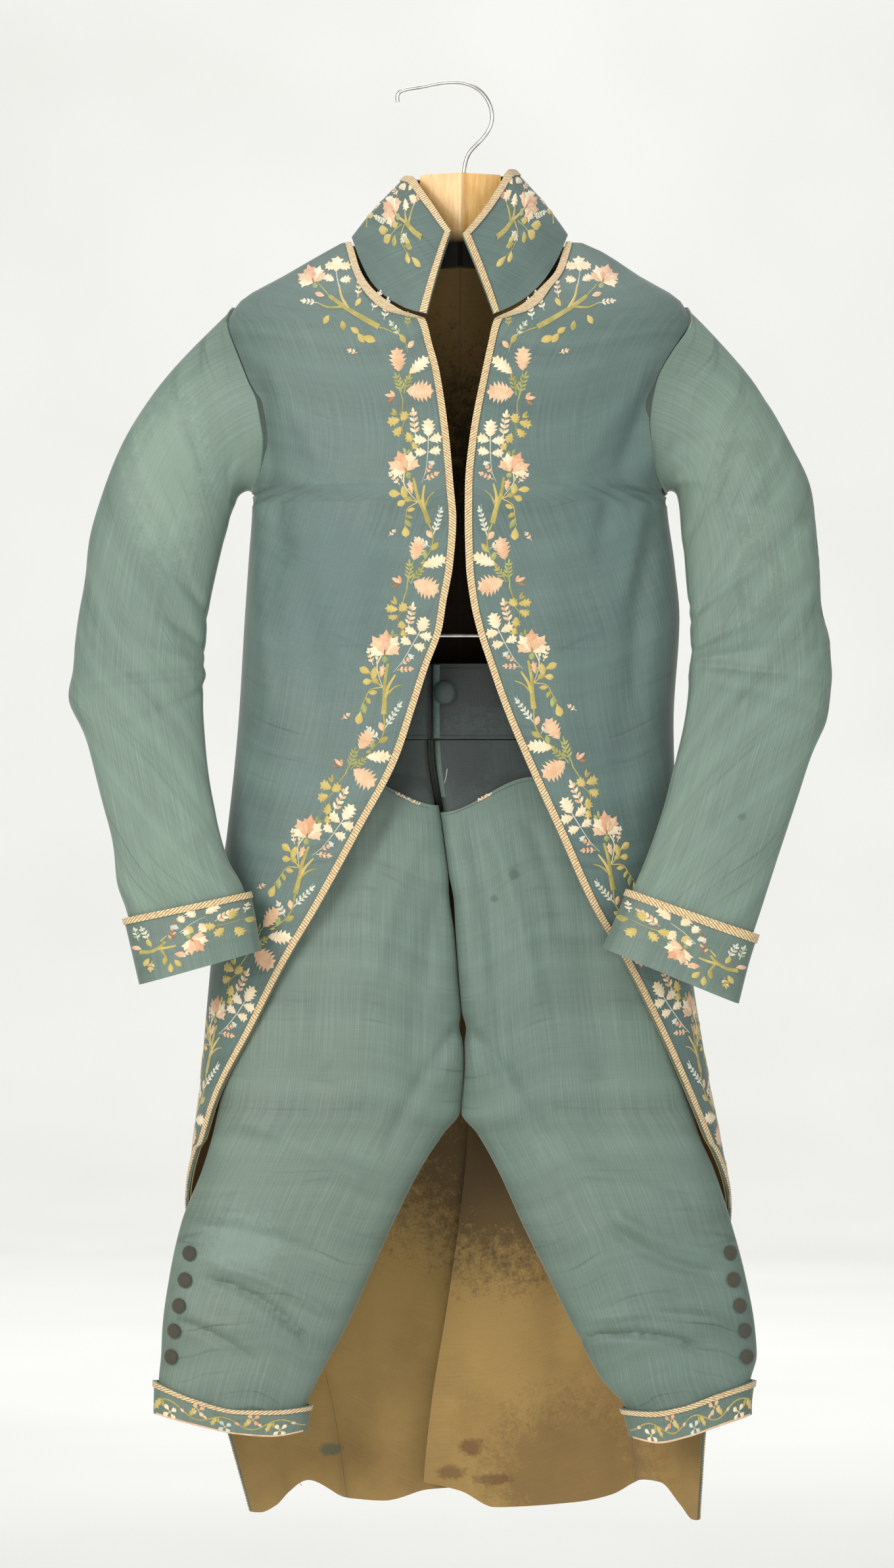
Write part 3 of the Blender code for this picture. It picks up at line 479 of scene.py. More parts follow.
# Fine wrinkles of the sleeves: at is the station, turn the middle of the crease.
sleeveCreases = table("side at turn lean deep wide span", [
    (-1, 1.0, 120, 0.9, -3.4, 0.2, 34),
    (-1, 1.5, 140, 1.0, 2.4, 0.22, 34),
    (1, 1.0, 118, -0.9, -3.2, 0.2, 34),
    (1, 1.6, 140, -1.0, 2.4, 0.22, 34),
    (-1, 1.5, 60, 0.6, -2.0, 0.16, 60),
    (-1, 2.4, 120, -0.7, -2.2, 0.18, 55),
    (-1, 4.6, 140, 0.5, -2.5, 0.14, 50),
    (-1, 5.3, 130, 0.5, -3.0, 0.13, 60),
    (-1, 5.9, 120, 0.3, 2.5, 0.16, 60),
    (-1, 6.4, 105, -0.2, -2.8, 0.13, 55),
    (-1, 7.1, 130, -0.5, -2.5, 0.14, 55),
    (-1, 8.3, 70, 0.4, -2.0, 0.18, 50),
    (-1, 9.6, 110, -0.4, 1.9, 0.2, 50),
    (1, 1.4, 70, -0.6, -2.0, 0.16, 60),
    (1, 2.6, 110, 0.6, -2.2, 0.2, 55),
    (1, 3.7, 70, -0.8, 2.0, 0.2, 50),
    (1, 4.9, 130, 0.5, -2.8, 0.14, 60),
    (1, 5.7, 120, 0.4, -3.0, 0.13, 60),
    (1, 6.3, 110, 0.2, 2.5, 0.15, 55),
    (1, 6.8, 100, -0.3, -2.8, 0.13, 55),
    (1, 7.6, 70, -0.4, -2.2, 0.16, 50),
    (1, 8.8, 115, 0.5, -1.9, 0.18, 50),
    (1, 9.9, 80, -0.3, 1.9, 0.2, 45),
    (-1, 3.2, 280, 0.5, -2.5, 0.2, 60),
    (-1, 5.6, 230, -0.5, -2.8, 0.16, 60),
    (-1, 6.7, 250, 0.3, 2.5, 0.16, 60),
    (-1, 8.6, 290, 0.4, -2.0, 0.2, 60),
    (1, 2.9, 270, -0.5, -2.5, 0.2, 60),
    (1, 5.4, 235, 0.5, -2.8, 0.16, 60),
    (1, 6.5, 255, -0.3, 2.5, 0.16, 60),
    (1, 9.1, 285, -0.4, -2.0, 0.2, 60),
    (1, 4.1, 18, 0.1, -1.6, 0.09, 34),
    (1, 4.6, 14, -0.1, -2.0, 0.1, 38),
    (1, 5.1, 16, 0.1, -1.8, 0.1, 36),
    (1, 5.6, 12, -0.1, -2.2, 0.11, 40),
    (1, 6.2, 18, 0.1, -1.7, 0.1, 34),
    (-1, 5.0, 16, 0.1, -1.4, 0.12, 36),
    (-1, 5.8, 14, -0.1, -1.6, 0.12, 36),
])


def sleeveSurface(side, turn, at):
    rows = sleeveStations[side]
    ox, oz, ix, iz = (curveOf(rows, k, at) for k in ("ox", "oz", "ix", "iz"))
    c, s = np.cos(np.radians(turn)), np.sin(np.radians(turn))
    fold = 0
    for row in sleeveFolds:
        lean = row["lean"] * (c if side < 0 else -c)
        off = (at - row["at"] - lean) / row["wide"]
        fold = fold + row["deep"] * np.exp(-(off ** 2)) * (0.55 + 0.45 * c)
    point = stack((ox + ix) / 2 + (ox - ix) / 2 * c,
                  curveOf(rows, "y", at) - curveOf(rows, "thick", at) * signedPower(s, 0.85),
                  (oz + iz) / 2 + (oz - iz) / 2 * c)
    point = point + fold[..., None] * stack(side * c, -s, 0 * c)
    blend = smooth(at / 1.6)[..., None]
    return point * blend + armholePoint(side, turn % 360) * (1 - blend)


def sleevePoint(side, turn, at, out, wrinkled=True):
    turn, at = np.broadcast_arrays(np.asarray(turn, float), np.asarray(at, float))
    bulge = np.zeros(turn.shape)
    for row in sleeveCreases if wrinkled else []:
        if row["side"] != side:
            continue
        off = (turn - row["turn"]) / row["span"]
        away = (at - row["at"] - row["lean"] * off) / row["wide"]
        bulge = bulge + row["deep"] * np.exp(-(away ** 2) - off * off)
    bulge = bulge * smooth((at - 0.5) / 1.2) * smooth((10.9 - at) / 0.8)
    surface = lambda a, b: sleeveSurface(side, a, b)
    return movedOut(surface, turn, np.maximum(at, 0.03), (out + bulge) * side, 1.5, 0.03)[0]


def collarPoint(at, up, out):
    def surface(a, b):
        base = stack(*(curveOf(collarEdges, k, a) for k in ("bx", "by", "bz")))
        top = stack(*(curveOf(collarEdges, k, a) for k in ("tx", "ty", "tz")))
        away = (base + top) / 2 - np.array([centreX, -10, 0])
        away[..., 2] = 0
        away /= np.linalg.norm(away, axis=-1, keepdims=True)
        b = np.asarray(b, float)[..., None]
        return base + (top - base) * b + away * 2.5 * np.sin(math.pi * np.clip(b, 0, 1))
    at, up = np.broadcast_arrays(np.asarray(at, float), np.asarray(up, float))
    return movedOut(surface, at, up, np.zeros(at.shape) - out, 0.05, 0.02)[0]


# Creases across the thighs and knees as in the photograph, and some behind.
legCreases = table("x1 z1 x2 z2 deep wide bow", [
    (-206, -1012, -128, -1062, -5.0, 3.6, -8),
    (-198, -1000, -110, -1040, 3.7, 5.0, -6),
    (-238, -1046, -170, -1082, -3.7, 3.6, -5),
    (-216, -966, -120, -990, -2.8, 5.8, -5),
    (-180, -880, -80, -930, 2.4, 7.2, -6),
    (130, -968, 212, -1006, -4.6, 4.3, 6),
    (136, -958, 216, -988, 3.4, 5.0, 6),
    (108, -1062, 202, -1070, -5.0, 3.6, -9),
    (112, -1046, 222, -1048, 3.4, 4.3, -8),
    (90, -900, 190, -940, -2.8, 7.2, -5),
    (-30, -640, -70, -760, 2.4, 7.2, 4),
    (-60, -620, -96, -730, -2.2, 6.5, 4),
    (30, -640, 66, -780, 2.4, 7.2, -4),
    (60, -630, 84, -720, -2.2, 6.5, -4),
    (0, -800, -60, -900, -2.8, 6.5, 3),
    (8, -800, 70, -890, -2.8, 6.5, -3),
    (14, -640, 36, -850, -4.5, 13, -7),
    (-14, -690, -34, -840, -4.0, 12, 6),
    (-96, -660, -120, -860, -2.2, 15, 6),
    (96, -700, 124, -900, -2.4, 14, -6),
])


def legEdges(side, z):
    return [curveOf(legSections, way + hand(side), z) for way in ("out", "in")]


def legSurface(side, turn, z):
    c, s = np.cos(np.radians(turn)), np.sin(np.radians(turn))
    across = (1 - c) / 2
    outer, inner = legEdges(side, z)
    seat = curveOf(legSections, "seat", z) * across ** 3 * np.where(s > 0, 1, -1)
    fold = 0
    for row in legFolds:
        off = (z - (row["z"] + row["slope"] * across)) / row["wide"]
        fold = fold + row["deep"] * np.exp(-(off ** 2)) * smooth(across * 5)
    y = curveOf(legSections, "y", z) - (curveOf(legSections, "thick", z) + fold) * signedPower(s, 0.85) - seat
    return stack(outer + (inner - outer) * across, y, z)


def legPoint(side, turn, z, out, wrinkled=True):
    turn, z = np.broadcast_arrays(np.asarray(turn, float), np.asarray(z, float))
    bulge = 0
    if wrinkled:
        base = legSurface(side, turn, z)
        bulge = creaseDepth(legCreases, base[..., 0], z)
        bulge = bulge * smooth((-600 - z) / 20) * smooth((z + 1095) / 20)
    surface = lambda a, b: legSurface(side, a, b)
    return movedOut(surface, turn, z, -(out + bulge) * side, 1.5, 0.6)[0]


def acrossAt(turn):
    return (1 - np.cos(np.radians(turn))) / 2


def fallTop(side, turn):
    return -589 - (24 if side < 0 else 30) * smooth((acrossAt(turn) - 0.55) / 0.45)


def bandHeight(side, turn, share):
    top = curveOf(kneeBandEdges, "top" + hand(side), acrossAt(turn))
    end = curveOf(kneeBandEdges, "low" + hand(side), acrossAt(turn))
    return top + (end - top) * share


def legGrid(side, turns, top, rows, out):
    # from its own top edge down to just inside the knee band
    end = bandHeight(side, turns, 0) - 5
    share = np.linspace(0, 1, rows)[:, None]
    z = top + (end - top) * share
    return legPoint(side, turns[None, :], z, out)


def newGroup(name, inputs, outputs):
    group = bpy.data.node_groups.new(name, "ShaderNodeTree")
    for label, kind, value in inputs:
        socket = group.interface.new_socket(name=label, in_out="INPUT", socket_type="NodeSocket" + kind)
        socket.default_value = value
    for label, kind in outputs:
        group.interface.new_socket(name=label, in_out="OUTPUT", socket_type="NodeSocket" + kind)
    tree = Tree(group)
    tree.start = group.nodes.new("NodeGroupInput")
    tree.end = group.nodes.new("NodeGroupOutput")
    return tree


class Tree:
    # short words for building a node tree
    def __init__(self, tree):
        self.tree = tree
        self.start = self.end = None

    def given(self, label):
        return self.start.outputs[label]

    def give(self, label, value):
        self.link(value, self.end.inputs[label])

    def link(self, source, target):
        if isinstance(source, (int, float)) or (isinstance(source, tuple) and not hasattr(source, "links")):
            target.default_value = source
        else:
            self.tree.links.new(source, target)

    def node(self, kind, inputs=None, **settings):
        made = self.tree.nodes.new("ShaderNode" + kind)
        for key, value in settings.items():
            setattr(made, key, value)
        for key, value in (inputs or {}).items():
            self.link(value, made.inputs[key])
        return made

    def math(self, operation, a, b=0.0, c=0.0, clamp=False):
        made = self.node("Math", {0: a, 1: b, 2: c}, operation=operation, use_clamp=clamp)
        return made.outputs[0]

    def mixColour(self, share, a, b, blend="MIX"):
        made = self.node("Mix", {0: share, 6: a, 7: b}, data_type="RGBA", blend_type=blend)
        return made.outputs[2]

    def ramp(self, value, low, high, start=0.0, end=1.0):
        made = self.node("MapRange", {0: value, 1: low, 2: high, 3: start, 4: end})
        made.clamp = True
        return made.outputs[0]

    def noise(self, vector, scale, detail, roughness=0.5):
        inputs = {"Vector": vector, "Scale": scale, "Detail": detail, "Roughness": roughness}
        return self.node("TexNoise", inputs).outputs["Fac"]

    def scaled(self, vector, x, y, z=1.0):
        return self.node("Mapping", {"Vector": vector, "Scale": (x, y, z)}).outputs[0]

    def group(self, group, inputs):
        made = self.tree.nodes.new("ShaderNodeGroup")
        made.node_tree = group
        for key, value in inputs.items():
            self.link(value, made.inputs[key])
        return made


origin, white, black = (0, 0, 0), (1, 1, 1, 1), (0, 0, 0, 1)


def silkGroup():
    # ribbed silk: fine ribs across, slubs along, crease marks and a slow drift of colour
    t = newGroup("silk", [
        ("Vector", "Vector", origin), ("Place", "Vector", origin), ("Colour", "Color", white),
        ("Drift Colour", "Color", white), ("Drift", "Float", 0.5), ("Slubs", "Float", 0.3),
        ("Threads per Metre", "Float", 1400.0), ("Creasing", "Float", 0.4),
    ], [("Colour", "Color"), ("Roughness", "Float"), ("Height", "Float")])
    uv, place = t.given("Vector"), t.given("Place")
    threads = t.given("Threads per Metre")
    split = t.node("SeparateXYZ", {0: uv})
    wander = t.noise(uv, 90.0, 2.0)
    ribPhase = t.math("MULTIPLY_ADD", split.outputs[1], threads, t.math("MULTIPLY", wander, 1.4))
    ribs = t.math("MULTIPLY_ADD", t.math("SINE", t.math("MULTIPLY", ribPhase, math.tau)), 0.5, 0.5)
    slubs = t.noise(t.scaled(uv, 900.0, 12.0), 1.0, 3.0, 0.6)
    slubs = t.ramp(slubs, 0.42, 0.7)
    picks = t.noise(t.scaled(uv, 40.0, 1500.0), 1.0, 2.0, 0.5)
    wide = t.noise(t.scaled(place, 3.0, 3.0, 1.6), 1.0, 4.0, 0.55)
    drift = t.math("MULTIPLY", t.ramp(wide, 0.35, 0.65), t.given("Drift"))
    bands = t.noise(t.scaled(uv, 1.2, 30.0), 1.0, 4.0, 0.62)
    bands = t.ramp(bands, 0.35, 0.68)
    creases = t.node("TexVoronoi", {"Vector": t.scaled(uv, 5.0, 42.0), "Scale": 1.0, "Randomness": 1.0},
                     feature="DISTANCE_TO_EDGE").outputs["Distance"]
    creases = t.ramp(creases, 0.0, 0.06, 1.0, 0.0)
    creases = t.math("MULTIPLY", creases, t.ramp(t.noise(uv, 14.0, 2.0), 0.5, 0.68))
    colour = t.mixColour(drift, t.given("Colour"), t.given("Drift Colour"))
    tone = t.math("MULTIPLY_ADD", slubs, 0.24, 0.88)
    tone = t.math("ADD", tone, t.math("MULTIPLY_ADD", picks, 0.22, -0.11))
    tone = t.math("ADD", tone, t.math("MULTIPLY_ADD", bands, 0.24, -0.12))
    creases = t.math("MULTIPLY", creases, t.given("Creasing"))
    tone = t.math("SUBTRACT", tone, t.math("MULTIPLY", creases, 0.22))
    grey = t.node("CombineColor", {0: tone, 1: tone, 2: tone}).outputs[0]
    t.give("Colour", t.mixColour(1.0, colour, grey, "MULTIPLY"))
    t.give("Roughness", t.math("MULTIPLY_ADD", bands, 0.14, 0.44))
    height = t.math("MULTIPLY_ADD", slubs, t.given("Slubs"), t.math("MULTIPLY", ribs, 0.5))
    height = t.math("ADD", height, t.math("MULTIPLY", picks, 0.4))
    t.give("Height", t.math("SUBTRACT", height, t.math("MULTIPLY", creases, 2.0)))
    return t.tree


def weaveGroup():
    # plain weave of linen or cotton, with thick and thin threads
    t = newGroup("plain weave", [
        ("Vector", "Vector", origin), ("Place", "Vector", origin), ("Colour", "Color", white),
        ("Dark Colour", "Color", black), ("Threads per Metre", "Float", 1100.0), ("Wear", "Float", 0.5),
    ], [("Colour", "Color"), ("Height", "Float")])
    uv = t.given("Vector")
    split = t.node("SeparateXYZ", {0: uv})
    waves = []
    for axis in (0, 1):
        turn = t.math("MULTIPLY", split.outputs[axis], t.given("Threads per Metre"))
        wave = t.math("SINE", t.math("MULTIPLY", turn, math.tau))
        waves.append(t.math("MULTIPLY_ADD", wave, 0.5, 0.5))
    cloth = t.math("MULTIPLY", waves[0], waves[1])
    uneven = t.noise(t.scaled(uv, 30.0, 900.0), 1.0, 3.0, 0.6)
    worn = t.ramp(t.noise(t.given("Place"), 9.0, 5.0, 0.6), 0.42, 0.7)
    wear = t.math("MULTIPLY", worn, t.given("Wear"))
    share = t.math("ADD", wear, t.math("MULTIPLY_ADD", uneven, 0.5, -0.25), clamp=True)
    t.give("Colour", t.mixColour(share, t.given("Colour"), t.given("Dark Colour")))
    t.give("Height", t.math("ADD", cloth, uneven))
    return t.tree


def braidGroup():
    # a bound edge of wound thread: slanted turns across the width, with coloured ones among them
    t = newGroup("braid", [
        ("Vector", "Vector", origin), ("Colour", "Color", white), ("Second Colour", "Color", white),
        ("Shade Colour", "Color", black), ("Turns per Metre", "Float", 420.0), ("Slant", "Float", 0.6),
    ], [("Colour", "Color"), ("Height", "Float")])
    uv = t.given("Vector")
    split = t.node("SeparateXYZ", {0: uv})
    run = t.math("ADD", split.outputs[1], t.math("MULTIPLY", split.outputs[0], t.given("Slant")))
    run = t.math("ADD", run, t.math("MULTIPLY_ADD", t.noise(uv, 160.0, 2.0), 0.002, -0.001))
    turn = t.math("FRACT", t.math("MULTIPLY", run, t.given("Turns per Metre")))
    ridge = t.math("SINE", t.math("MULTIPLY", turn, math.pi))
    patches = t.ramp(t.noise(uv, 330.0, 3.0), 0.5, 0.62)
    colour = t.mixColour(patches, t.given("Colour"), t.given("Second Colour"))
    t.give("Colour", t.mixColour(t.ramp(ridge, 0.1, 0.75, 1.0, 0.0), colour, t.given("Shade Colour")))
    t.give("Height", ridge)
    return t.tree


def stainAndShadeGroup():
    # one soft spot or tide line at a place, in metres; it makes both the stains and the patches of painted
    # shade
    t = newGroup("stainAndShadeMark", [
        ("Place", "Vector", origin), ("Centre", "Vector", origin), ("Size", "Vector", (0.02, 0.02, 0.02)),
        ("Ring", "Float", 0.0),
    ], [("Mask", "Float")])
    away = t.node("VectorMath", {0: t.given("Place"), 1: t.given("Centre")}, operation="SUBTRACT").outputs[0]
    away = t.node("VectorMath", {0: away, 1: t.given("Size")}, operation="DIVIDE").outputs[0]
    length = t.node("VectorMath", {0: away}, operation="LENGTH").outputs["Value"]
    coarse = t.math("MULTIPLY_ADD", t.noise(t.given("Place"), 110.0, 4.0, 0.6), 0.9, -0.45)
    fine = t.math("MULTIPLY_ADD", t.noise(t.given("Place"), 420.0, 2.0, 0.6), 0.7, -0.35)
    rough = t.math("ADD", coarse, fine)
    reach = t.math("ADD", length, rough)
    filled = t.ramp(reach, 0.55, 1.0, 1.0, 0.0)
    edge = t.math("MULTIPLY", filled, t.ramp(reach, 0.5, 0.85))
    edge = t.math("MULTIPLY", edge, 2.6)
    mask = t.node("Mix", {0: t.given("Ring"), 2: filled, 3: edge}, data_type="FLOAT").outputs[0]
    t.give("Mask", mask)
    return t.tree


def rgb(red, green, blue):
    # screen values to the linear ones that materials take
    parts = [v / 255 for v in (red, green, blue)]
    return tuple(p / 12.92 if p <= 0.04045 else ((p + 0.055) / 1.055) ** 2.4 for p in parts) + (1.0,)


silkNodes, weaveNodes, braidNodes, stainAndShadeNodes = silkGroup(), weaveGroup(), braidGroup(), stainAndShadeGroup()


def newMaterial(name):
    material = bpy.data.materials.new(name)
    material.use_nodes = True
    material.node_tree.nodes.clear()
    t = Tree(material.node_tree)
    shader = t.node("BsdfPrincipled")
    t.link(shader.outputs[0], t.node("OutputMaterial").inputs[0])
    coordinates = t.node("TexCoord")
    return material, t, shader, coordinates.outputs["UV"], coordinates.outputs["Object"]


def bumped(t, shader, height, distance, strength):
    bump = t.node("Bump", {"Height": height, "Distance": distance, "Strength": strength})
    t.link(bump.outputs[0], shader.inputs["Normal"])


# mixes in the stains and the patches of painted shade, each by its soft mask
def stainedAndShaded(t, place, colour, stainAndShadeMarks):
    for stainAndShadeMark in stainAndShadeMarks:
        mask = t.group(stainAndShadeNodes, {"Place": place, "Centre": stainAndShadeMark["centre"], "Size": stainAndShadeMark["size"],
                                    "Ring": stainAndShadeMark.get("ring", 0.0)}).outputs["Mask"]
        colour = t.mixColour(t.math("MULTIPLY", mask, stainAndShadeMark["strength"]), colour, stainAndShadeMark["colour"])
    return colour


silkWeave = dict(threads=1300.0, slubs=0.4, sheen=0.25)


def silkLook(name, colour, driftColour, drift=0.6, creasing=0.5, stainAndShadeMarks=()):
    material, t, shader, uv, place = newMaterial(name)
    made = t.group(silkNodes, {
        "Vector": uv, "Place": place, "Colour": colour, "Drift Colour": driftColour, "Drift": drift,
        "Threads per Metre": silkWeave["threads"], "Slubs": silkWeave["slubs"], "Creasing": creasing,
    })
    t.link(stainedAndShaded(t, place, made.outputs["Colour"], stainAndShadeMarks), shader.inputs["Base Color"])
    t.link(made.outputs["Roughness"], shader.inputs["Roughness"])
    bumped(t, shader, made.outputs["Height"], 0.00022, 0.55)
    shader.inputs["Sheen Weight"].default_value = silkWeave["sheen"]
    shader.inputs["Sheen Roughness"].default_value = 0.35
    shader.inputs["Specular IOR Level"].default_value = 0.42
    return material


def weaveLook(name, colour, darkColour, threads=1100.0, wear=0.5, stainAndShadeMarks=()):
    material, t, shader, uv, place = newMaterial(name)
    made = t.group(weaveNodes, {"Vector": uv, "Place": place, "Colour": colour,
                                "Dark Colour": darkColour, "Threads per Metre": threads, "Wear": wear})
    t.link(stainedAndShaded(t, place, made.outputs["Colour"], stainAndShadeMarks), shader.inputs["Base Color"])
    bumped(t, shader, made.outputs["Height"], 0.0003, 0.5)
    shader.inputs["Roughness"].default_value = 0.85
    shader.inputs["Sheen Weight"].default_value = 0.15
    return material


def braidLook(name, colour, second, shade, turns=420.0, slant=0.6):
    material, t, shader, uv, place = newMaterial(name)
    made = t.group(braidNodes, {"Vector": uv, "Colour": colour, "Second Colour": second,
                                "Shade Colour": shade, "Turns per Metre": turns, "Slant": slant})
    t.link(made.outputs["Colour"], shader.inputs["Base Color"])
    bumped(t, shader, made.outputs["Height"], 0.0006, 0.8)
    shader.inputs["Roughness"].default_value = 0.55
    shader.inputs["Sheen Weight"].default_value = 0.3
    return material


# Stains of the silk and lining, and patches of painted shade on the waist and inside the coat, in metres:
# where they are, how large, and how strong.
coatStains = [
    dict(centre=(-0.11, -0.08, -0.43), size=(0.07, 0.08, 0.10), colour=rgb(72, 94, 92), strength=0.45),
    dict(centre=(0.13, -0.08, -0.34), size=(0.05, 0.08, 0.12), colour=rgb(74, 96, 92), strength=0.4),
]
sleeveStains = table("centre size colour strength ring", [
    ((0.240, -0.05, -0.345), (0.026, 0.08, 0.05), rgb(84, 100, 86), 0.3, 1.0),
    ((0.252, -0.05, -0.425), (0.022, 0.08, 0.036), rgb(84, 100, 86), 0.3, 1.0),
    ((0.235, -0.115, -0.622), (0.006, 0.03, 0.005), rgb(70, 78, 70), 0.7),
    ((-0.245, -0.03, -0.34), (0.04, 0.05, 0.09), rgb(138, 158, 140), 0.3),
    ((-0.27, 0.01, -0.45), (0.03, 0.03, 0.04), rgb(104, 124, 112), 0.3, 1.0),
])
breechesStains = table("centre size colour strength", [
    ((0.046, -0.06, -0.671), (0.006, 0.03, 0.006), rgb(58, 76, 74), 0.6),
    ((0.03, -0.06, -0.691), (0.004, 0.03, 0.004), rgb(60, 74, 72), 0.6),
    ((-0.18, -0.04, -0.98), (0.04, 0.05, 0.03), rgb(126, 148, 138), 0.3),
])
# Painted shade over the waistband and yoke, where the coat shades them: a wide patch at the top, a small one
# at the centre and thin bands near the falls' top edges.
waistPaintedShade = table("centre size colour strength", [
    ((0.0, -0.04, -0.50), (0.10, 0.06, 0.05), rgb(14, 18, 16), 0.75),
    ((0.0, -0.045, -0.575), (0.034, 0.05, 0.035), rgb(22, 28, 26), 0.6),
    ((-0.06, -0.045, -0.595), (0.05, 0.05, 0.012), rgb(24, 30, 28), 0.6),
    ((0.06, -0.045, -0.595), (0.05, 0.05, 0.012), rgb(24, 30, 28), 0.6),
])
# Lining: the first row is painted shade that darkens the inside of the back to near black; the next two
# darken patches low on the tails, right of the middle; the rest are brown and green spots and a faint brown
# patch.
liningStainsAndPaintedShade = table("centre size colour strength", [
    ((0.0, 0.05, -0.47), (0.24, 0.08, 0.26), rgb(20, 13, 8), 0.92),
    ((0.05, 0.07, -0.92), (0.16, 0.06, 0.12), rgb(48, 35, 18), 0.7),
    ((0.10, 0.07, -1.19), (0.09, 0.05, 0.08), rgb(92, 68, 32), 0.5),
    ((0.012, 0.075, -1.168), (0.012, 0.04, 0.009), rgb(78, 50, 26), 0.75),
    ((-0.006, 0.075, -1.19), (0.014, 0.04, 0.008), rgb(84, 56, 30), 0.6),
    ((0.03, 0.075, -1.196), (0.02, 0.04, 0.006), rgb(84, 56, 30), 0.6),
    ((-0.11, 0.075, -1.17), (0.012, 0.04, 0.007), rgb(64, 84, 70), 0.7),
    ((0.02, 0.07, -1.15), (0.03, 0.04, 0.04), rgb(120, 88, 46), 0.3),
])

coatSilk = silkLook("coat silk", rgb(84, 104, 99), rgb(98, 116, 108), creasing=0.8, stainAndShadeMarks=coatStains)
backSilk = silkLook("back silk", rgb(86, 106, 100), rgb(102, 120, 110), drift=0.7)
sleeveSilk = silkLook("sleeve silk", rgb(116, 136, 121), rgb(96, 115, 105), 0.8, 1.2, sleeveStains)
cuffSilk = silkLook("cuff silk", rgb(94, 112, 102), rgb(106, 124, 112))
breechesSilk = silkLook("breeches silk", rgb(92, 111, 102), rgb(106, 122, 108), 0.8, 1.2, breechesStains)
# The waist silk's colour is darkened as painted shade, where the coat shades the waistband and yoke.
waistSilkPaintedShade = silkLook("waist silk with painted shade", rgb(40, 51, 47), rgb(50, 61, 55), creasing=1.0, stainAndShadeMarks=waistPaintedShade)
# darker silk for the waist button; the seam tapes take it too, as painted shade in their gaps
buttonSilk = silkLook("button silk", rgb(46, 60, 55), rgb(58, 72, 66))
tanLining = weaveLook("tan lining", rgb(150, 122, 68), rgb(104, 79, 40), stainAndShadeMarks=liningStainsAndPaintedShade)
# The collar's inner face: its colour darkened as painted shade inside the neck.
neckLiningPaintedShade = weaveLook("neck lining with painted shade", rgb(60, 44, 24), rgb(30, 21, 12))
goldBraid = braidLook("gold braid", rgb(214, 194, 146), rgb(208, 160, 122), rgb(128, 104, 66))
buttonCover = weaveLook("button cover", rgb(62, 60, 48), rgb(34, 32, 26), threads=900.0, wear=0.8)
print("materials made")


def rowLengths(points):
    return np.linalg.norm(np.diff(points, axis=1), axis=2)


def gridUv(points):
    # across and down in metres along the cloth, for the weave
    across = np.concatenate([np.zeros((points.shape[0], 1)), np.cumsum(rowLengths(points), axis=1)], axis=1)
    downSteps = np.linalg.norm(np.diff(points, axis=0), axis=2)
    down = np.concatenate([np.zeros((1, points.shape[1])), np.cumsum(downSteps, axis=0)], axis=0)
    middle = across[:, across.shape[1] // 2][:, None]
    return np.stack([across - middle, down], axis=-1) * mm


def gridFaces(index):
    return np.stack([index[:-1, :-1], index[:-1, 1:], index[1:, 1:], index[1:, :-1]], -1).reshape(-1, 4)


def makeObject(name, points, faces, uvs, materials, faceSlots=None):
    mesh = bpy.data.meshes.new(name)
    mesh.vertices.add(len(points))
    mesh.vertices.foreach_set("co", np.asarray(points, np.float32).ravel())
    corners = faces.ravel()
    mesh.loops.add(len(corners))
    mesh.loops.foreach_set("vertex_index", corners.astype(np.int32))
    mesh.polygons.add(len(faces))
    mesh.polygons.foreach_set("loop_start", np.arange(len(faces), dtype=np.int32) * 4)
    mesh.update(calc_edges=True)
    layer = mesh.uv_layers.new(name="UVMap")
    layer.data.foreach_set("uv", np.asarray(uvs, np.float32)[corners].ravel())
    for material in materials:
        mesh.materials.append(material)
    if faceSlots is not None:
        mesh.polygons.foreach_set("material_index", np.asarray(faceSlots, np.int32))
    mesh.shade_smooth()
    mesh.validate()
    piece = bpy.data.objects.new(name, mesh)
    bpy.context.scene.collection.objects.link(piece)
    return piece


def wallPiece(name, outer, inner, face, lining=None, ring=False, rim=None):
    # a closed wall between two grids; slot 0 is the outside, 1 the inside, 2 the rims
    rows, columns = outer.shape[:2]
    shift = rows * columns
    index = np.arange(shift).reshape(rows, columns)
    if ring:
        index = np.concatenate([index, index[:, :1]], axis=1)
    quads = gridFaces(index)
    parts = [quads, quads[:, [0, 3, 2, 1]] + shift]
    slots = [np.zeros(len(quads)), np.ones(len(quads))]
    edges = [(index[0, 1:], index[0, :-1]), (index[-1, :-1], index[-1, 1:])]
    if not ring:
        edges += [(index[:-1, 0], index[1:, 0]), (index[1:, -1], index[:-1, -1])]
    for a, b in edges:
        rim4 = np.stack([a, b, b + shift, a + shift], -1)
        parts.append(rim4)
        slots.append(np.full(len(rim4), 2))
    faces = np.concatenate(parts)
    points = np.concatenate([outer.reshape(-1, 3), inner.reshape(-1, 3)]) * mm
    a, b, c, d = (points[faces[:, k]] for k in range(4))
    volume = np.einsum("ij,ij->i", a, np.cross(b, c) + np.cross(c, d)).sum()
    if volume < 0:
        faces = faces[:, ::-1]
    uv = gridUv(outer).reshape(-1, 2)
    uvs = np.concatenate([uv, uv])
    materials = [face, lining or face, rim or face]
    piece = makeObject(name, points, faces, uvs, materials, np.concatenate(slots))
    piece.data.set_sharp_from_angle(angle=math.radians(48))
    return piece


def declareSheet(points):
    # the cut of what shows: its widest row and its longest column, worked out and not kept
    wide = float(rowLengths(points).sum(axis=1).max()) * mm
    long = float(np.linalg.norm(np.diff(points, axis=0), axis=2).sum(axis=0).max()) * mm
    wide, long = round(wide + 0.0005, 3), round(long + 0.0005, 3)


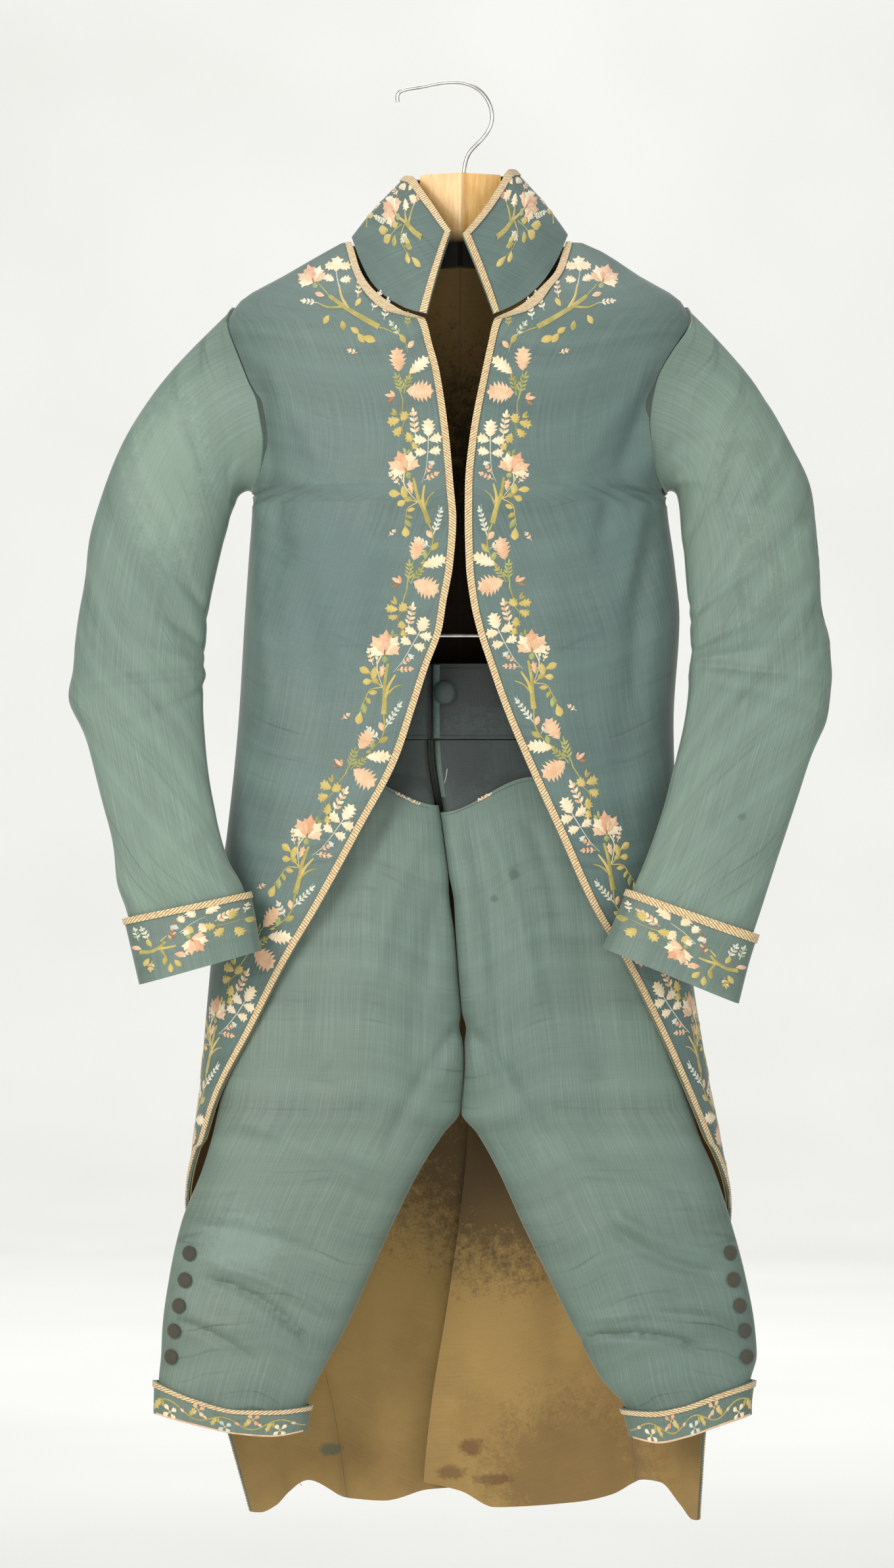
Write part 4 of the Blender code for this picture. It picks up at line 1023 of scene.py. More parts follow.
def clothPiece(name, pointsAt, out, thick, look, nodes, ring=False):
    outer, inner = pointsAt(out), pointsAt(out - thick)
    piece = wallPiece(name, outer, inner, look["face"], look.get("back"), ring, look.get("rim"))
    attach(piece, "root")
    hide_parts(*nodes)
    declareSheet(np.concatenate([outer, outer[:, :1]], axis=1) if ring else outer)
    return piece


def evenHeights(rows, spacing):
    # heights between the given ones, no further apart than the spacing
    result = []
    for a, b in zip(rows[:-1], rows[1:]):
        count = max(1, math.ceil(abs(b - a) / spacing))
        result += [a + (b - a) * i / count for i in range(count)]
    return result + [rows[-1]]


def coatGrid(side, anglesAt, heights, hemRows, count, out):
    # rows at even heights, then down to the hem column by column
    z = np.array(heights, float)
    columns = np.arange(count)
    upper = coatPoint(side, anglesAt(side, z, count), z[:, None], np.full((len(z), count), float(out)))
    hems = np.full(count, -1205.0)
    for _ in range(6):
        angles = anglesAt(side, hems, count)[columns, columns]
        hems = curveOf(hemHeights, low(side), side * (coatSurface(side, angles, hems)[:, 0] - centreX))
    rows = []
    for step in np.linspace(0, 1, hemRows + 1)[1:]:
        level = z[-1] + (hems - z[-1]) * step
        angles = anglesAt(side, level, count)[columns, columns]
        rows.append(coatPoint(side, angles, level, np.full(count, float(out))))
    return np.concatenate([upper, np.array(rows)])

coatHeights = evenHeights([-136, -207, -345, -360, -1000], 7.5)
skirtHeights = evenHeights([-540, -1000], 9)
coat = dict(columns=104, hemRows=24, lining=-2.75, liningThick=0.9)


def edgeAngles(side, z, count):
    start = frontEdgeAt(side, z)
    wide = curveOf(frontEdges, "braid", np.maximum(z, -899))
    return start[:, None] + gapAngle(side, start + 1.5, z, wide)[:, None] * np.linspace(0, 1, count)


def lined(face, back=tanLining):
    return dict(face=face, back=back, rim=face)


def makeCoatBody():
    for side in (-1, 1):
        where = low(side)
        for part, angles, look in (("front", frontAngles, coatSilk), ("back", backAngles, backSilk)):
            clothPiece(f"{part}_panel_{where}",
                       lambda out: coatGrid(side, angles, coatHeights, coat["hemRows"], coat["columns"], out),
                       0, 2.0, lined(look), [f"{part}_{where}"])
            heights = skirtHeights if part == "front" else evenHeights([-150, -1000], 11)
            clothPiece(f"{part}_lining_{where}",
                       lambda out: coatGrid(side, angles, heights, 16, 60, out),
                       coat["lining"], coat["liningThick"], dict(face=tanLining),
                       [f"lining_{part}_{where}"])
        strip = lambda out: coatGrid(side, edgeAngles, evenHeights([-207.4, -1000], 3.5), 50, 6, out)
        braidPiece(f"front_edge_{where}", strip, [f"front_braid_{where}"])
        z = np.array(evenHeights([-136, -207], 3))
        neck = lambda out: coatPoint(side, edgeAngles(side, z, 6), z[:, None], out)
        braidPiece(f"neck_edge_{where}", neck, [f"neck_braid_{where}"])
    print("coat body made")


def braidPiece(name, pointsAt, nodes, ring=False, base=0.3, thick=1.1):
    outer, inner = pointsAt(base + thick), pointsAt(base)
    piece = wallPiece(name, outer, inner, goldBraid, ring=ring)
    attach(piece, "root")
    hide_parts(*nodes)
    return piece


# Sleeves and cuffs: stations along the arm, and how far the cuff stands off and its wall.
sleeve = dict(rows=150, turns=60, end=11.12, cuffTop=11.0, cuffEnd=12.0, cuffOut=4.2, cuffThick=2.2)


def makeSleeves():
    stations = np.linspace(0.0, sleeve["end"], sleeve["rows"])[:, None]
    for side in (-1, 1):
        where = low(side)
        for part, start in (("top", 0), ("under", 180)):
            turns = np.linspace(start + 0.2, start + 179.8, sleeve["turns"])[None, :]
            clothPiece(f"sleeve_{part}_shell_{where}", lambda out: sleevePoint(side, turns, stations, out),
                       0, 2.0, lined(sleeveSilk), [f"sleeve_{part}_{where}"])
        ring = np.linspace(0, 360, 121)[:-1][None, :]
        cuffRows = np.linspace(sleeve["cuffTop"], sleeve["cuffEnd"], 30)[:, None]
        clothPiece(f"cuff_shell_{where}", lambda out: sleevePoint(side, ring, cuffRows, out, False),
                   sleeve["cuffOut"], sleeve["cuffThick"], lined(cuffSilk), [f"cuff_{where}"],
                   True)
        braidRows = np.linspace(sleeve["cuffTop"], sleeve["end"], 6)[:, None]
        braidPiece(f"cuff_edge_{where}", lambda out: sleevePoint(side, ring, braidRows, out, False),
                   [f"cuff_braid_{where}"], True, 4.5)
    print("sleeves made")


def makeCollar():
    ats = np.concatenate([np.linspace(0, 0.4, 6), np.linspace(0.5, 15.5, 150), np.linspace(15.6, 16, 6)])
    ats = ats[None, :]
    ups = np.linspace(0.04, 1.0, 26)[:, None]
    clothPiece("stand_collar", lambda out: collarPoint(ats, ups[::-1], out), 0, 2.0,
               lined(coatSilk, neckLiningPaintedShade), ["collar"])
    braidPiece("collar_edge_top", lambda out: collarPoint(ats.T, np.linspace(0.93, 1.0, 6)[None, :], out),
               ["collar_braid_top"])
    for where, ends in (("left", ats[:, :6]), ("right", ats[:, -6:])):
        rows = np.linspace(0.04, 0.93, 24)[:, None]
        braidPiece(f"collar_edge_{where}", lambda out: collarPoint(ends, rows, out),
                   [f"collar_braid_{where}"], base=0.6)
    print("collar made")


# Breeches: rows of the legs' grids, and how far the knee band stands off and its wall.
breeches = dict(frontRows=190, backRows=150, bandOut=3.9, bandThick=2.2, yokeOut=-3.0, yokeThick=1.6)


def makeBreeches():
    front = np.linspace(0.3, 179.7, 70)
    back = np.linspace(180.3, 359.7, 70)
    for side in (-1, 1):
        where = low(side)
        tops = fallTop(side, front)
        clothPiece(f"leg_front_{where}", lambda out: legGrid(side, front, tops, breeches["frontRows"], out),
                   0, 2.0, lined(breechesSilk), [f"breeches_front_{where}"])
        waist = np.full(len(back), -557.8)
        clothPiece(f"leg_back_{where}", lambda out: legGrid(side, back, waist, breeches["backRows"], out),
                   0, 2.0, lined(breechesSilk), [f"breeches_back_{where}"])
        yokeRows = np.linspace(-557.8, -622, 16)[:, None]
        yokeTurns = front[8:][None, :]
        clothPiece(f"yoke_shell_{where}", lambda out: legPoint(side, yokeTurns, yokeRows, out, False),
                   breeches["yokeOut"], breeches["yokeThick"], dict(face=waistSilkPaintedShade),
                   [f"yoke_{where}"])
        around = np.concatenate([front[::-1], back[::-1]])[None, ::-1]
        bandRows = np.linspace(-494, -557.2, 18)[:, None]
        clothPiece(f"waistband_shell_{where}", lambda out: legPoint(side, around, bandRows, out, False),
                   0, 2.0, lined(waistSilkPaintedShade), [f"waistband_{where}"])
        turns = np.concatenate([front, back])

        def band(out, shares):
            heights = np.array([bandHeight(side, turns, s) for s in shares])
            return legPoint(side, turns[None, :], heights, out, False)

        clothPiece(f"knee_band_shell_{where}", lambda out: band(out, np.linspace(0, 1, 14)),
                   breeches["bandOut"], breeches["bandThick"], lined(breechesSilk),
                   [f"knee_band_{where}"])
        braidPiece(f"knee_edge_{where}", lambda out: band(out, np.linspace(0, 0.16, 6)),
                   [f"knee_braid_{where}"], base=4.2)
    print("breeches made")


def turnedPiece(name, profile, centre, axis, material, segments, dents, count):
    # a round button: rows of the profile are radius and height along the axis
    axis = axis / np.linalg.norm(axis)
    across = np.cross(axis, [0, 0, 1.0])
    across /= np.linalg.norm(across)
    up = np.cross(axis, across)
    turns = np.arange(segments) * math.tau / segments
    around = np.cos(turns)[:, None] * across + np.sin(turns)[:, None] * up
    rings = [centre + axis * height + radius * around * (1 + dents * np.cos(turns * count))[:, None]
             for radius, height in profile]
    first, last = (np.repeat(ring.mean(0)[None], segments, 0) for ring in (rings[0], rings[-1]))
    points = np.array([first] + rings + [last])
    rows = len(points)
    index = np.arange(rows * segments).reshape(rows, segments)
    index = np.concatenate([index, index[:, :1]], axis=1)
    faces = gridFaces(index)
    flat = points.reshape(-1, 3) * mm
    uvs = np.stack([(points - centre) @ across, (points - centre) @ up], -1).reshape(-1, 2) * mm
    return makeObject(name, flat, faces[:, ::-1], uvs, [material])


def kneeButtonAt(side, row):
    turns = np.linspace(8, 70, 249)
    turn = turns[np.argmin(np.abs(legSurface(side, turns, row["z"])[:, 0] - row[low(side)]))]
    base = legPoint(side, turn, row["z"], 0.6, False)
    return base, legPoint(side, turn, row["z"], 1.6, False) - base


# Buttons: radius and height of each ring of the cover, and the waist button's place.
button = dict(
    knee=[(5.0, 0), (6.3, 0.7), (6.5, 1.5), (6.1, 2.4), (4.6, 3.2), (2.4, 3.7), (0.5, 3.8)],
    waist=[(8.0, 0), (9.6, 0.8), (10, 1.7), (9.5, 2.8), (7.8, 3.8), (5.0, 4.5), (2.0, 4.8), (0.4, 4.8)],
    waistX=-11.0, waistZ=-518.4,
)


def makeButtons():
    for side in (-1, 1):
        for number, row in enumerate(kneeButtonPlaces, 1):
            base, axis = kneeButtonAt(side, row)
            which = f"{low(side)}_{number}"
            piece = turnedPiece(f"knee_button_cover_{which}", button["knee"], base, axis, buttonCover,
                                32, 0.012, 8)
            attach(piece, "root")
            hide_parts(f"knee_button_{which}")
    seat = min(legPoint(1, turn, button["waistZ"], 0, False)[1] for turn in (142, 150, 158))
    place = np.array([button["waistX"], seat - 0.6, button["waistZ"]])
    piece = turnedPiece("waist_button_cover", button["waist"], place, np.array([0, -1.0, 0]), buttonSilk,
                        48, 0.008, 6)
    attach(piece, "root")
    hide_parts("waist_button")
    print("buttons made")


def wireLook(name):
    # drawn steel, dulled in patches
    material, t, shader, uv, place = newMaterial(name)
    drawn = t.noise(t.scaled(place, 60.0, 60.0, 900.0), 1.0, 3.0, 0.6)
    dull = t.ramp(t.noise(place, 70.0, 4.0, 0.6), 0.45, 0.7)
    t.link(t.mixColour(dull, rgb(214, 214, 208), rgb(168, 166, 158)), shader.inputs["Base Color"])
    t.link(t.math("MULTIPLY_ADD", drawn, 0.2, 0.2), shader.inputs["Roughness"])
    shader.inputs["Metallic"].default_value = 1.0
    return material


def boardLook(name):
    # smooth tan board: a painted highlight on the ridge down the middle of the neck block, a darker line
    # beside it and a soft fleck
    material, t, shader, uv, place = newMaterial(name)
    split = t.node("SeparateXYZ", {0: place})
    ridge = t.ramp(t.math("ABSOLUTE", t.math("SUBTRACT", split.outputs[0], 0.002)), 0.0, 0.0022, 1.0, 0.0)
    edge = t.ramp(t.math("ABSOLUTE", t.math("SUBTRACT", split.outputs[0], 0.0065)), 0.0, 0.003, 1.0, 0.0)
    fleck = t.noise(t.scaled(place, 300.0, 300.0, 60.0), 1.0, 4.0, 0.6)
    colour = t.mixColour(t.ramp(fleck, 0.35, 0.7), rgb(226, 182, 112), rgb(208, 158, 88))
    colour = t.mixColour(t.math("MULTIPLY", ridge, 0.7), colour, rgb(246, 218, 168))
    colour = t.mixColour(t.math("MULTIPLY", edge, 0.5), colour, rgb(168, 116, 56))
    # painted shade: the block is dark below the collar's points
    colour = t.mixColour(t.ramp(split.outputs[2], -0.136, -0.125, 1.0, 0.0), colour, rgb(18, 11, 6))
    t.link(colour, shader.inputs["Base Color"])
    t.link(t.math("MULTIPLY_ADD", fleck, 0.16, 0.36), shader.inputs["Roughness"])
    bumped(t, shader, t.math("ADD", ridge, t.math("MULTIPLY", fleck, 0.1)), 0.0008, 0.6)
    shader.inputs["Coat Weight"].default_value = 0.15
    return material


# Hanger: the wire's radius and its distance behind the origin, in millimetres.
hanger = dict(wireRadius=1.65, behind=0.5)


def makeHanger():
    curve = bpy.data.curves.new("hanger_hook_wire", "CURVE")
    curve.dimensions = "3D"
    line = curve.splines.new("NURBS")
    line.points.add(len(hookPath) - 1)
    for point, row in zip(line.points, hookPath):
        point.co = (row["x"] * mm, hanger["behind"] * mm, row["z"] * mm, 1)
    line.order_u, line.use_endpoint_u, line.resolution_u = 4, True, 10
    curve.bevel_depth = hanger["wireRadius"] * mm
    curve.bevel_resolution, curve.use_fill_caps = 6, True
    steel = wireLook("steel wire")
    curve.materials.append(steel)
    hook = bpy.data.objects.new("hanger_hook_wire", curve)
    bpy.context.scene.collection.objects.link(hook)
    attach(hook, "root")
    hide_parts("hook")
    looks = dict(hanger_board=boardLook("tan board"), trouser_bar=steel, clip_left=steel, clip_right=steel)
    for name, look in looks.items():
        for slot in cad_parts[name].material_slots:
            slot.material = look
    print("hanger made")


# Threads of the embroidery: each is its own satin-stitch colour.
threadLooks = {}


stitchesPerMetre = 1500.0


def threadLook(name, colour, second):
    # satin stitch: fine threads across the shape, with painted shade in the grooves between them
    material, t, shader, uv, place = newMaterial(name + " thread")
    split = t.node("SeparateXYZ", {0: uv})
    wander = t.noise(uv, 300.0, 2.0)
    phase = t.math("MULTIPLY_ADD", split.outputs[1], stitchesPerMetre, t.math("MULTIPLY", wander, 1.2))
    ridge = t.math("MULTIPLY_ADD", t.math("SINE", t.math("MULTIPLY", phase, math.tau)), 0.5, 0.5)
    patches = t.ramp(t.noise(place, 120.0, 3.0, 0.6), 0.38, 0.66)
    colour = t.mixColour(patches, colour, second)
    shade = t.mixColour(1.0, colour, (0.62, 0.56, 0.5, 1.0), "MULTIPLY")
    t.link(t.mixColour(t.ramp(ridge, 0.0, 0.5, 1.0, 0.0), colour, shade), shader.inputs["Base Color"])
    bumped(t, shader, ridge, 0.00025, 0.7)
    shader.inputs["Roughness"].default_value = 0.48
    shader.inputs["Sheen Weight"].default_value = 0.35
    threadLooks[name] = material


for row in table("name colour second", [
    ("cream", (244, 232, 200), (236, 214, 172)),
    ("blush", (234, 202, 162), (222, 174, 134)),
    ("rose", (220, 160, 120), (232, 190, 152)),
    ("gold", (196, 176, 96), (214, 192, 112)),
    ("olive", (160, 150, 74), (190, 176, 94)),
    ("green", (140, 152, 92), (176, 180, 112)),
    ("pale", (214, 222, 208), (190, 204, 196)),
    ("brown", (142, 98, 62), (176, 128, 84)),
    ("teal", (84, 106, 98), (70, 92, 86)),
    ("dark", (20, 28, 26), (34, 42, 38)),
]):
    threadLook(row["name"], rgb(*row["colour"]), rgb(*row["second"]))
threadNames = list(threadLooks)


class Stitching:
    # gathers raised stitched shapes on one surface; surface(u, v, out) gives points in millimetres
    def __init__(self, surface):
        self.surface = surface
        self.points, self.faces, self.slots, self.uvs = [], [], [], []
        self.count = 0

    def add(self, u, v, out, across, down, thread):
        # grid arrays of one shape
        rows, columns = u.shape
        index = np.arange(rows * columns).reshape(rows, columns) + self.count
        faces = gridFaces(index)
        self.points.append(np.stack([u, v, out], -1).reshape(-1, 3))
        self.faces.append(faces)
        self.slots.append(np.full(len(faces), threadNames.index(thread)))
        self.uvs.append(np.stack([across, down], -1).reshape(-1, 2) * mm)
        self.count += rows * columns

    def leaf(self, u, v, length, width, heading, thread, height=0.7, teeth=0, bend=0.0, fat=0.5):
        # a leaf or petal from its foot at (u, v); heading in degrees, 0 to the right and 90 up
        stations = max(7, 2 * teeth + 3)
        s = np.linspace(0, 1, stations)
        body = np.sin(math.pi * np.clip(s, 0, 1) ** (math.log(0.5) / math.log(fat))) ** 0.75
        tips = np.zeros(stations)
        if teeth:
            tips = np.where((s > 0.08) & (s < 0.97), 1.0 - np.arange(stations) % 2, 0.5)
            body = body ** 0.8 * (0.56 + 0.5 * tips)
        half = body * width / 2
        turn = np.radians(heading + bend * (s - 0.5))
        stepU, stepV = np.cos(turn), np.sin(turn)
        lineU = u + np.concatenate([[0], np.cumsum((stepU[1:] + stepU[:-1]) / 2)]) * length / (stations - 1)
        lineV = v + np.concatenate([[0], np.cumsum((stepV[1:] + stepV[:-1]) / 2)]) * length / (stations - 1)
        sides = np.array([-1.0, -0.55, 0.0, 0.55, 1.0])
        lift = np.array([0.0, 0.75, 1.0, 0.75, 0.0])
        push = (tips * 0.9 * length / (stations - 1) if teeth else tips)[:, None] * sides ** 2
        gridU = lineU[:, None] - stepV[:, None] * half[:, None] * sides + stepU[:, None] * push
        gridV = lineV[:, None] + stepU[:, None] * half[:, None] * sides + stepV[:, None] * push
        out = 0.12 + height * lift * np.minimum(1, half / 1.2)[:, None]
        self.add(gridU, gridV, out, half[:, None] * sides, (s * length)[:, None] + 0 * sides, thread)

    def stem(self, line, width, thread, height=0.5, taper=0.5):
        # a stem through points (u, v), thinner toward its end
        line = np.array(line, float)
        run = np.concatenate([[0], np.cumsum(np.linalg.norm(np.diff(line, axis=0), axis=1))])
        count = max(5, int(run[-1] / 2.2))
        at = np.linspace(0, run[-1], count)
        u, v = curveThrough(run, line[:, 0], at), curveThrough(run, line[:, 1], at)
        du, dv = np.gradient(u), np.gradient(v)
        size = np.hypot(du, dv)
        half = width / 2 * (1 - (1 - taper) * at / run[-1])
        sides, lift = np.array([-1.0, 0.0, 1.0]), np.array([0.0, 1.0, 0.0])
        gridU = u[:, None] - (dv / size * half)[:, None] * sides
        gridV = v[:, None] + (du / size * half)[:, None] * sides
        out = 0.12 + height * lift + 0 * gridU
        self.add(gridU, gridV, out, half[:, None] * sides, at[:, None] + 0 * sides, thread)

    def rose(self, u, v, size, heading):
        # a half-open rose seen from its side: broad outer petals, a folded heart and a small calyx
        turn = math.radians(heading)
        u, v = u - 0.42 * size * math.cos(turn), v - 0.42 * size * math.sin(turn)
        for offset, reach, width, tone, rise in (
            (-66, 0.66, 0.5, "cream", 0.5), (64, 0.66, 0.5, "blush", 0.5),
            (-36, 0.86, 0.52, "blush", 0.65), (36, 0.86, 0.5, "cream", 0.65),
            (2, 0.96, 0.54, "rose", 0.8), (-16, 0.68, 0.32, "blush", 0.95), (18, 0.62, 0.3, "rose", 1.05),
        ):
            self.leaf(u, v, size * reach, size * width, heading + offset, tone, rise, 2, 0, 0.66)
        self.leaf(u, v, size * 0.3, size * 0.1, heading, "brown", 1.2)
        self.leaf(u, v, size * 0.3, size * 0.26, heading + 180, "green", 0.8)

    def flower(self, u, v, size, petals, thread, heart, heading):
        for k in range(petals):
            turn = heading + k * 360 / petals
            foot = size * 0.08
            self.leaf(u + foot * math.cos(math.radians(turn)), v + foot * math.sin(math.radians(turn)),
                      size * 0.42, size * 0.3, turn, thread, 0.6, 0, 0, 0.66)
        self.leaf(u - size * 0.09, v, size * 0.18, size * 0.18, 0, heart, 0.9, 0, 0, 0.5)

    def make(self, name):
        data = np.concatenate(self.points)
        points = self.surface(data[:, 0], data[:, 1], data[:, 2]) * mm
        used = sorted(set(np.concatenate(self.slots).astype(int)))
        order = {k: i for i, k in enumerate(used)}
        slots = np.array([order[int(k)] for k in np.concatenate(self.slots)])
        faces = np.concatenate(self.faces)
        looks = [threadLooks[threadNames[k]] for k in used]
        piece = makeObject(name, points, faces, np.concatenate(self.uvs), looks, slots)
        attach(piece, "root")
        print(f"  {name}: {len(faces)} faces of stitching")
        return piece


def curveThrough(run, values, at):
    # a smooth line through given values
    slopes = np.gradient(values, run)
    i = np.clip(np.searchsorted(run, at) - 1, 0, len(run) - 2)
    width = run[i + 1] - run[i]
    t = (at - run[i]) / width
    return (values[i] * (1 + 2 * t) * (1 - t) ** 2 + slopes[i] * width * t * (1 - t) ** 2
            + values[i + 1] * t * t * (3 - 2 * t) + slopes[i + 1] * width * t * t * (t - 1))


class FrontMap:
    # the coat unrolled: lengths round it from the centre front, by height
    def __init__(self, side):
        self.side = side
        self.heights = np.arange(-1240, -135, 4.0)
        self.angles = np.linspace(-90, 100, 191)
        points = coatSurface(side, self.angles[None, :], self.heights[:, None])
        steps = np.linalg.norm(np.diff(points, axis=1), axis=2)
        self.run = np.concatenate([np.zeros((len(self.heights), 1)), np.cumsum(steps, axis=1)], axis=1)
        z = np.arange(-207.0, -1215, -3)
        angle = frontEdgeAt(side, z)
        self.edgeZ, self.edgeRun = z, self.runAt(angle, z)
        steps = np.hypot(np.diff(self.edgeZ), np.diff(self.edgeRun))
        self.down = np.concatenate([[0], np.cumsum(steps)])

    def runAt(self, angle, z):
        row = np.clip((z - self.heights[0]) / 4.0, 0, len(self.heights) - 1.001)
        column = np.clip(angle + 90, 0, len(self.angles) - 1.001)
        i, j = row.astype(int), column.astype(int)
        fi, fj = row - i, column - j
        a = self.run[i, j] * (1 - fj) + self.run[i, j + 1] * fj
        b = self.run[i + 1, j] * (1 - fj) + self.run[i + 1, j + 1] * fj
        return a * (1 - fi) + b * fi

    def angleFor(self, run, z):
        angle = np.full(run.shape, -45.0)
        for _ in range(9):
            slope = self.runAt(angle + 0.5, z) - self.runAt(angle - 0.5, z)
            angle = np.clip(angle + (run - self.runAt(angle, z)) / np.maximum(slope, 0.3), -90, 99)
        return angle

    def plain(self, run, z, out):
        # a point by its length round the coat and its height
        z = np.clip(z, -1238, -137)
        return coatPoint(self.side, self.angleFor(run, z), z, out)

    def byEdge(self, away, down, out):
        # a point by its distance from the front edge and the length down that edge from z -207
        at = np.clip(down, 0, self.down[-1])
        z, run = np.interp(at, self.down, self.edgeZ), np.interp(at, self.down, self.edgeRun)
        dz = np.interp(at + 12, self.down, self.edgeZ) - np.interp(at - 12, self.down, self.edgeZ)
        dr = np.interp(at + 12, self.down, self.edgeRun) - np.interp(at - 12, self.down, self.edgeRun)
        size = np.maximum(np.hypot(dz, dr), 1e-6)
        return self.plain(run + away * -dz / size, z + away * dr / size, out)

    def byView(self, x, z, out):
        # a point by its place in the front view
        z = np.clip(z, -1238, -137)
        return coatPoint(self.side, -angleAt(self.side, x, z), z, out)


# One repeat of the border: distances from the front edge and down it, headings with 90 up
# along the edge and 0 toward the edge.
vineStems = table("line wide thread", [
    ([(34, 53), (35, 44), (33.5, 35), (33, 26)], 1.4, "green"),
    ([(32, 48), (30, 40), (25.6, 31)], 1.2, "green"),
    ([(34, 53), (35.5, 62), (35, 70), (38, 80), (33, 90), (31, 97)], 1.1, "olive"),
    ([(17, 87.4), (19.3, 103.5), (22.3, 117.4), (26.2, 126.5)], 1.0, "pale"),
    ([(40, 117), (41, 125), (37, 133), (31, 141)], 1.1, "cream"),
    ([(23.3, 162.2), (26.9, 148), (30.1, 138.4), (32.6, 121.3)], 4.6, "olive"),
    ([(26.5, 149), (26.6, 139), (24, 128)], 3.2, "gold"),
    ([(25.6, 146), (21.5, 138), (16.5, 134)], 2.0, "olive"),
    ([(31, 141), (40.6, 146.8), (42, 155.2), (43.5, 165)], 1.1, "gold"),
    ([(31, 141), (38, 138), (45, 133)], 1.2, "gold"),
    ([(23.3, 162.2), (18.9, 174.8), (20.6, 188.7), (26, 199)], 1.6, "olive"),
    ([(18.9, 173.4), (15, 160), (14, 146)], 0.8, "pale"),
])
vineLeaves = table("at size turn thread teeth fat", [
    ((33, 27), (21, 14.5), 80, "blush", 5, 0.55),
    ((25.6, 31), (22, 12), 28, "cream", 5, 0.55),
    ((30.5, 46), (23, 19), -10, "blush", 6, 0.55),
    ((40, 49), (9, 3.4), 160, "blush"),
    ((40, 49), (7, 3), 118, "rose"),
    ((41, 50), (7, 3), 205, "brown"),
    ((40.6, 65.7), (7.5, 3), 118, "olive"),
    ((40.6, 65.7), (6, 2.6), 155, "olive"),
    ((38, 70), (11.5, 9.5), 185, "gold", 3, 0.6),
    ((37.5, 72), (9.5, 9), 60, "gold", 3, 0.55),
    ((38, 76), (10, 8.5), 225, "gold", 3, 0.6),
    ((34.5, 81), (10, 8.5), 285, "gold", 3, 0.6),
    ((31, 90), (8, 6.5), 290, "gold", 2, 0.6),
    ((17, 88), (15.5, 12), 84, "cream", 4, 0.5),
    ((18, 91), (12, 9.5), 168, "cream", 3, 0.6),
    ((17.4, 91), (11.5, 9.5), 10, "cream", 3, 0.6),
    ((19.3, 101), (10.5, 8.5), 172, "cream", 3, 0.6),
    ((18.6, 101), (10.5, 8.5), 6, "cream", 3, 0.6),
    ((20, 109), (6.5, 5), -20, "pale", 2, 0.6),
    ((37, 101), (6.5, 3), 105, "green"),
    ((36, 101), (5, 2.6), 60, "green"),
    ((34.7, 134.5), (11.5, 5.6), 98, "blush", 2),
    ((34.5, 134), (7, 2.6), 112, "gold"),
    ((44, 133), (10.5, 6.2), 172, "gold", 0, 0.6),
    ((40.6, 138), (11.5, 5.6), 98, "gold"),
    ((40.6, 138.6), (8.5, 5.6), 205, "gold", 0, 0.6),
    ((35, 139), (8, 5), 160, "olive"),
    ((40.8, 149), (7.5, 4.2), 20, "gold"),
    ((41.8, 153), (7, 4), 320, "olive"),
    ((43, 158), (10.5, 5), 300, "green"),
    ((42.6, 165), (12.5, 6.8), 275, "gold", 0, 0.66),
    ((19.5, 176), (8.5, 5), 128, "blush"),
    ((19.4, 187), (9.5, 5), 55, "olive"),
    ((23, 195), (8.5, 4.6), 100, "green"),
    ((27, 200), (5, 2.6), 40, "olive"),
])
vineSprigs = table("at turn length leaf threads pairs", [
    ((27.8, 86.7), 88, 24, (6, 2.6), ("cream", "blush"), 4),
    ((18.9, 172), 74, 25, (4.8, 1.9), ("pale", "cream"), 5),
    ((20.4, 184), 152, 15, (4.6, 2.2), ("pale", "cream"), 3),
    ((56, 178), 55, 10, (3.2, 1.6), ("blush", "cream"), 2),
    ((44.3, 126), 128, 14, (3.4, 1.8), ("cream", "blush"), 3),
    ((42, 124), 96, 11, (3.2, 1.6), ("cream", "green"), 2),
    ((24, 124), 22, 14, (3.6, 2.0), ("blush", "rose"), 3),
    ((22.5, 119), 50, 10, (3.2, 1.8), ("rose", "blush"), 2),
    ((33.6, 47), 98, 19, (6.2, 2.0), ("green", "olive"), 4),
    ((31.4, 45), 62, 14, (5.4, 1.9), ("olive", "green"), 3),
])
vineRose = dict(at=(40.4, 108.3), size=20, turn=110)


def sprig(stitching, u, v, turn, length, leaf, threads, pairs):
    # a thin stalk with slim leaflets in pairs
    step = length / (pairs + 1)
    du, dv = math.cos(math.radians(turn)), math.sin(math.radians(turn))
    line = [(u + du * length * k, v + dv * length * k) for k in (0, 0.5, 1)]
    stitching.stem(line, 0.7, threads[0], 0.3)
    for k in range(pairs):
        at = (u + du * step * (k + 0.8), v + dv * step * (k + 0.8))
        for hand in (-1, 1):
            thread = threads[(k + (hand > 0)) % 2]
            stitching.leaf(*at, leaf[0] * (1 - 0.08 * k), leaf[1], turn + hand * 42, thread, 0.5)
    tip = (u + du * step * pairs, v + dv * step * pairs)
    stitching.leaf(*tip, leaf[0] * 1.1, leaf[1], turn, threads[0], 0.5)


def vineRepeat(stitching, start):
    # u is the distance from the edge; down is counted along it, so v is minus that
    place = lambda at: (at[0], -(start + at[1]))
    for row in vineStems:
        stitching.stem([place(at) for at in row["line"]], row["wide"], row["thread"], 0.6, 0.45)
    for row in vineLeaves:
        stitching.leaf(*place(row["at"]), *row["size"], 180 - row["turn"], row["thread"], 0.75,
                       row.get("teeth", 0), 0, row.get("fat", 0.5))
    for row in vineSprigs:
        sprig(stitching, *place(row["at"]), 180 - row["turn"], row["length"], row["leaf"], row["threads"],
              row["pairs"])
    stitching.rose(*place(vineRose["at"]), vineRose["size"], 180 - vineRose["turn"])


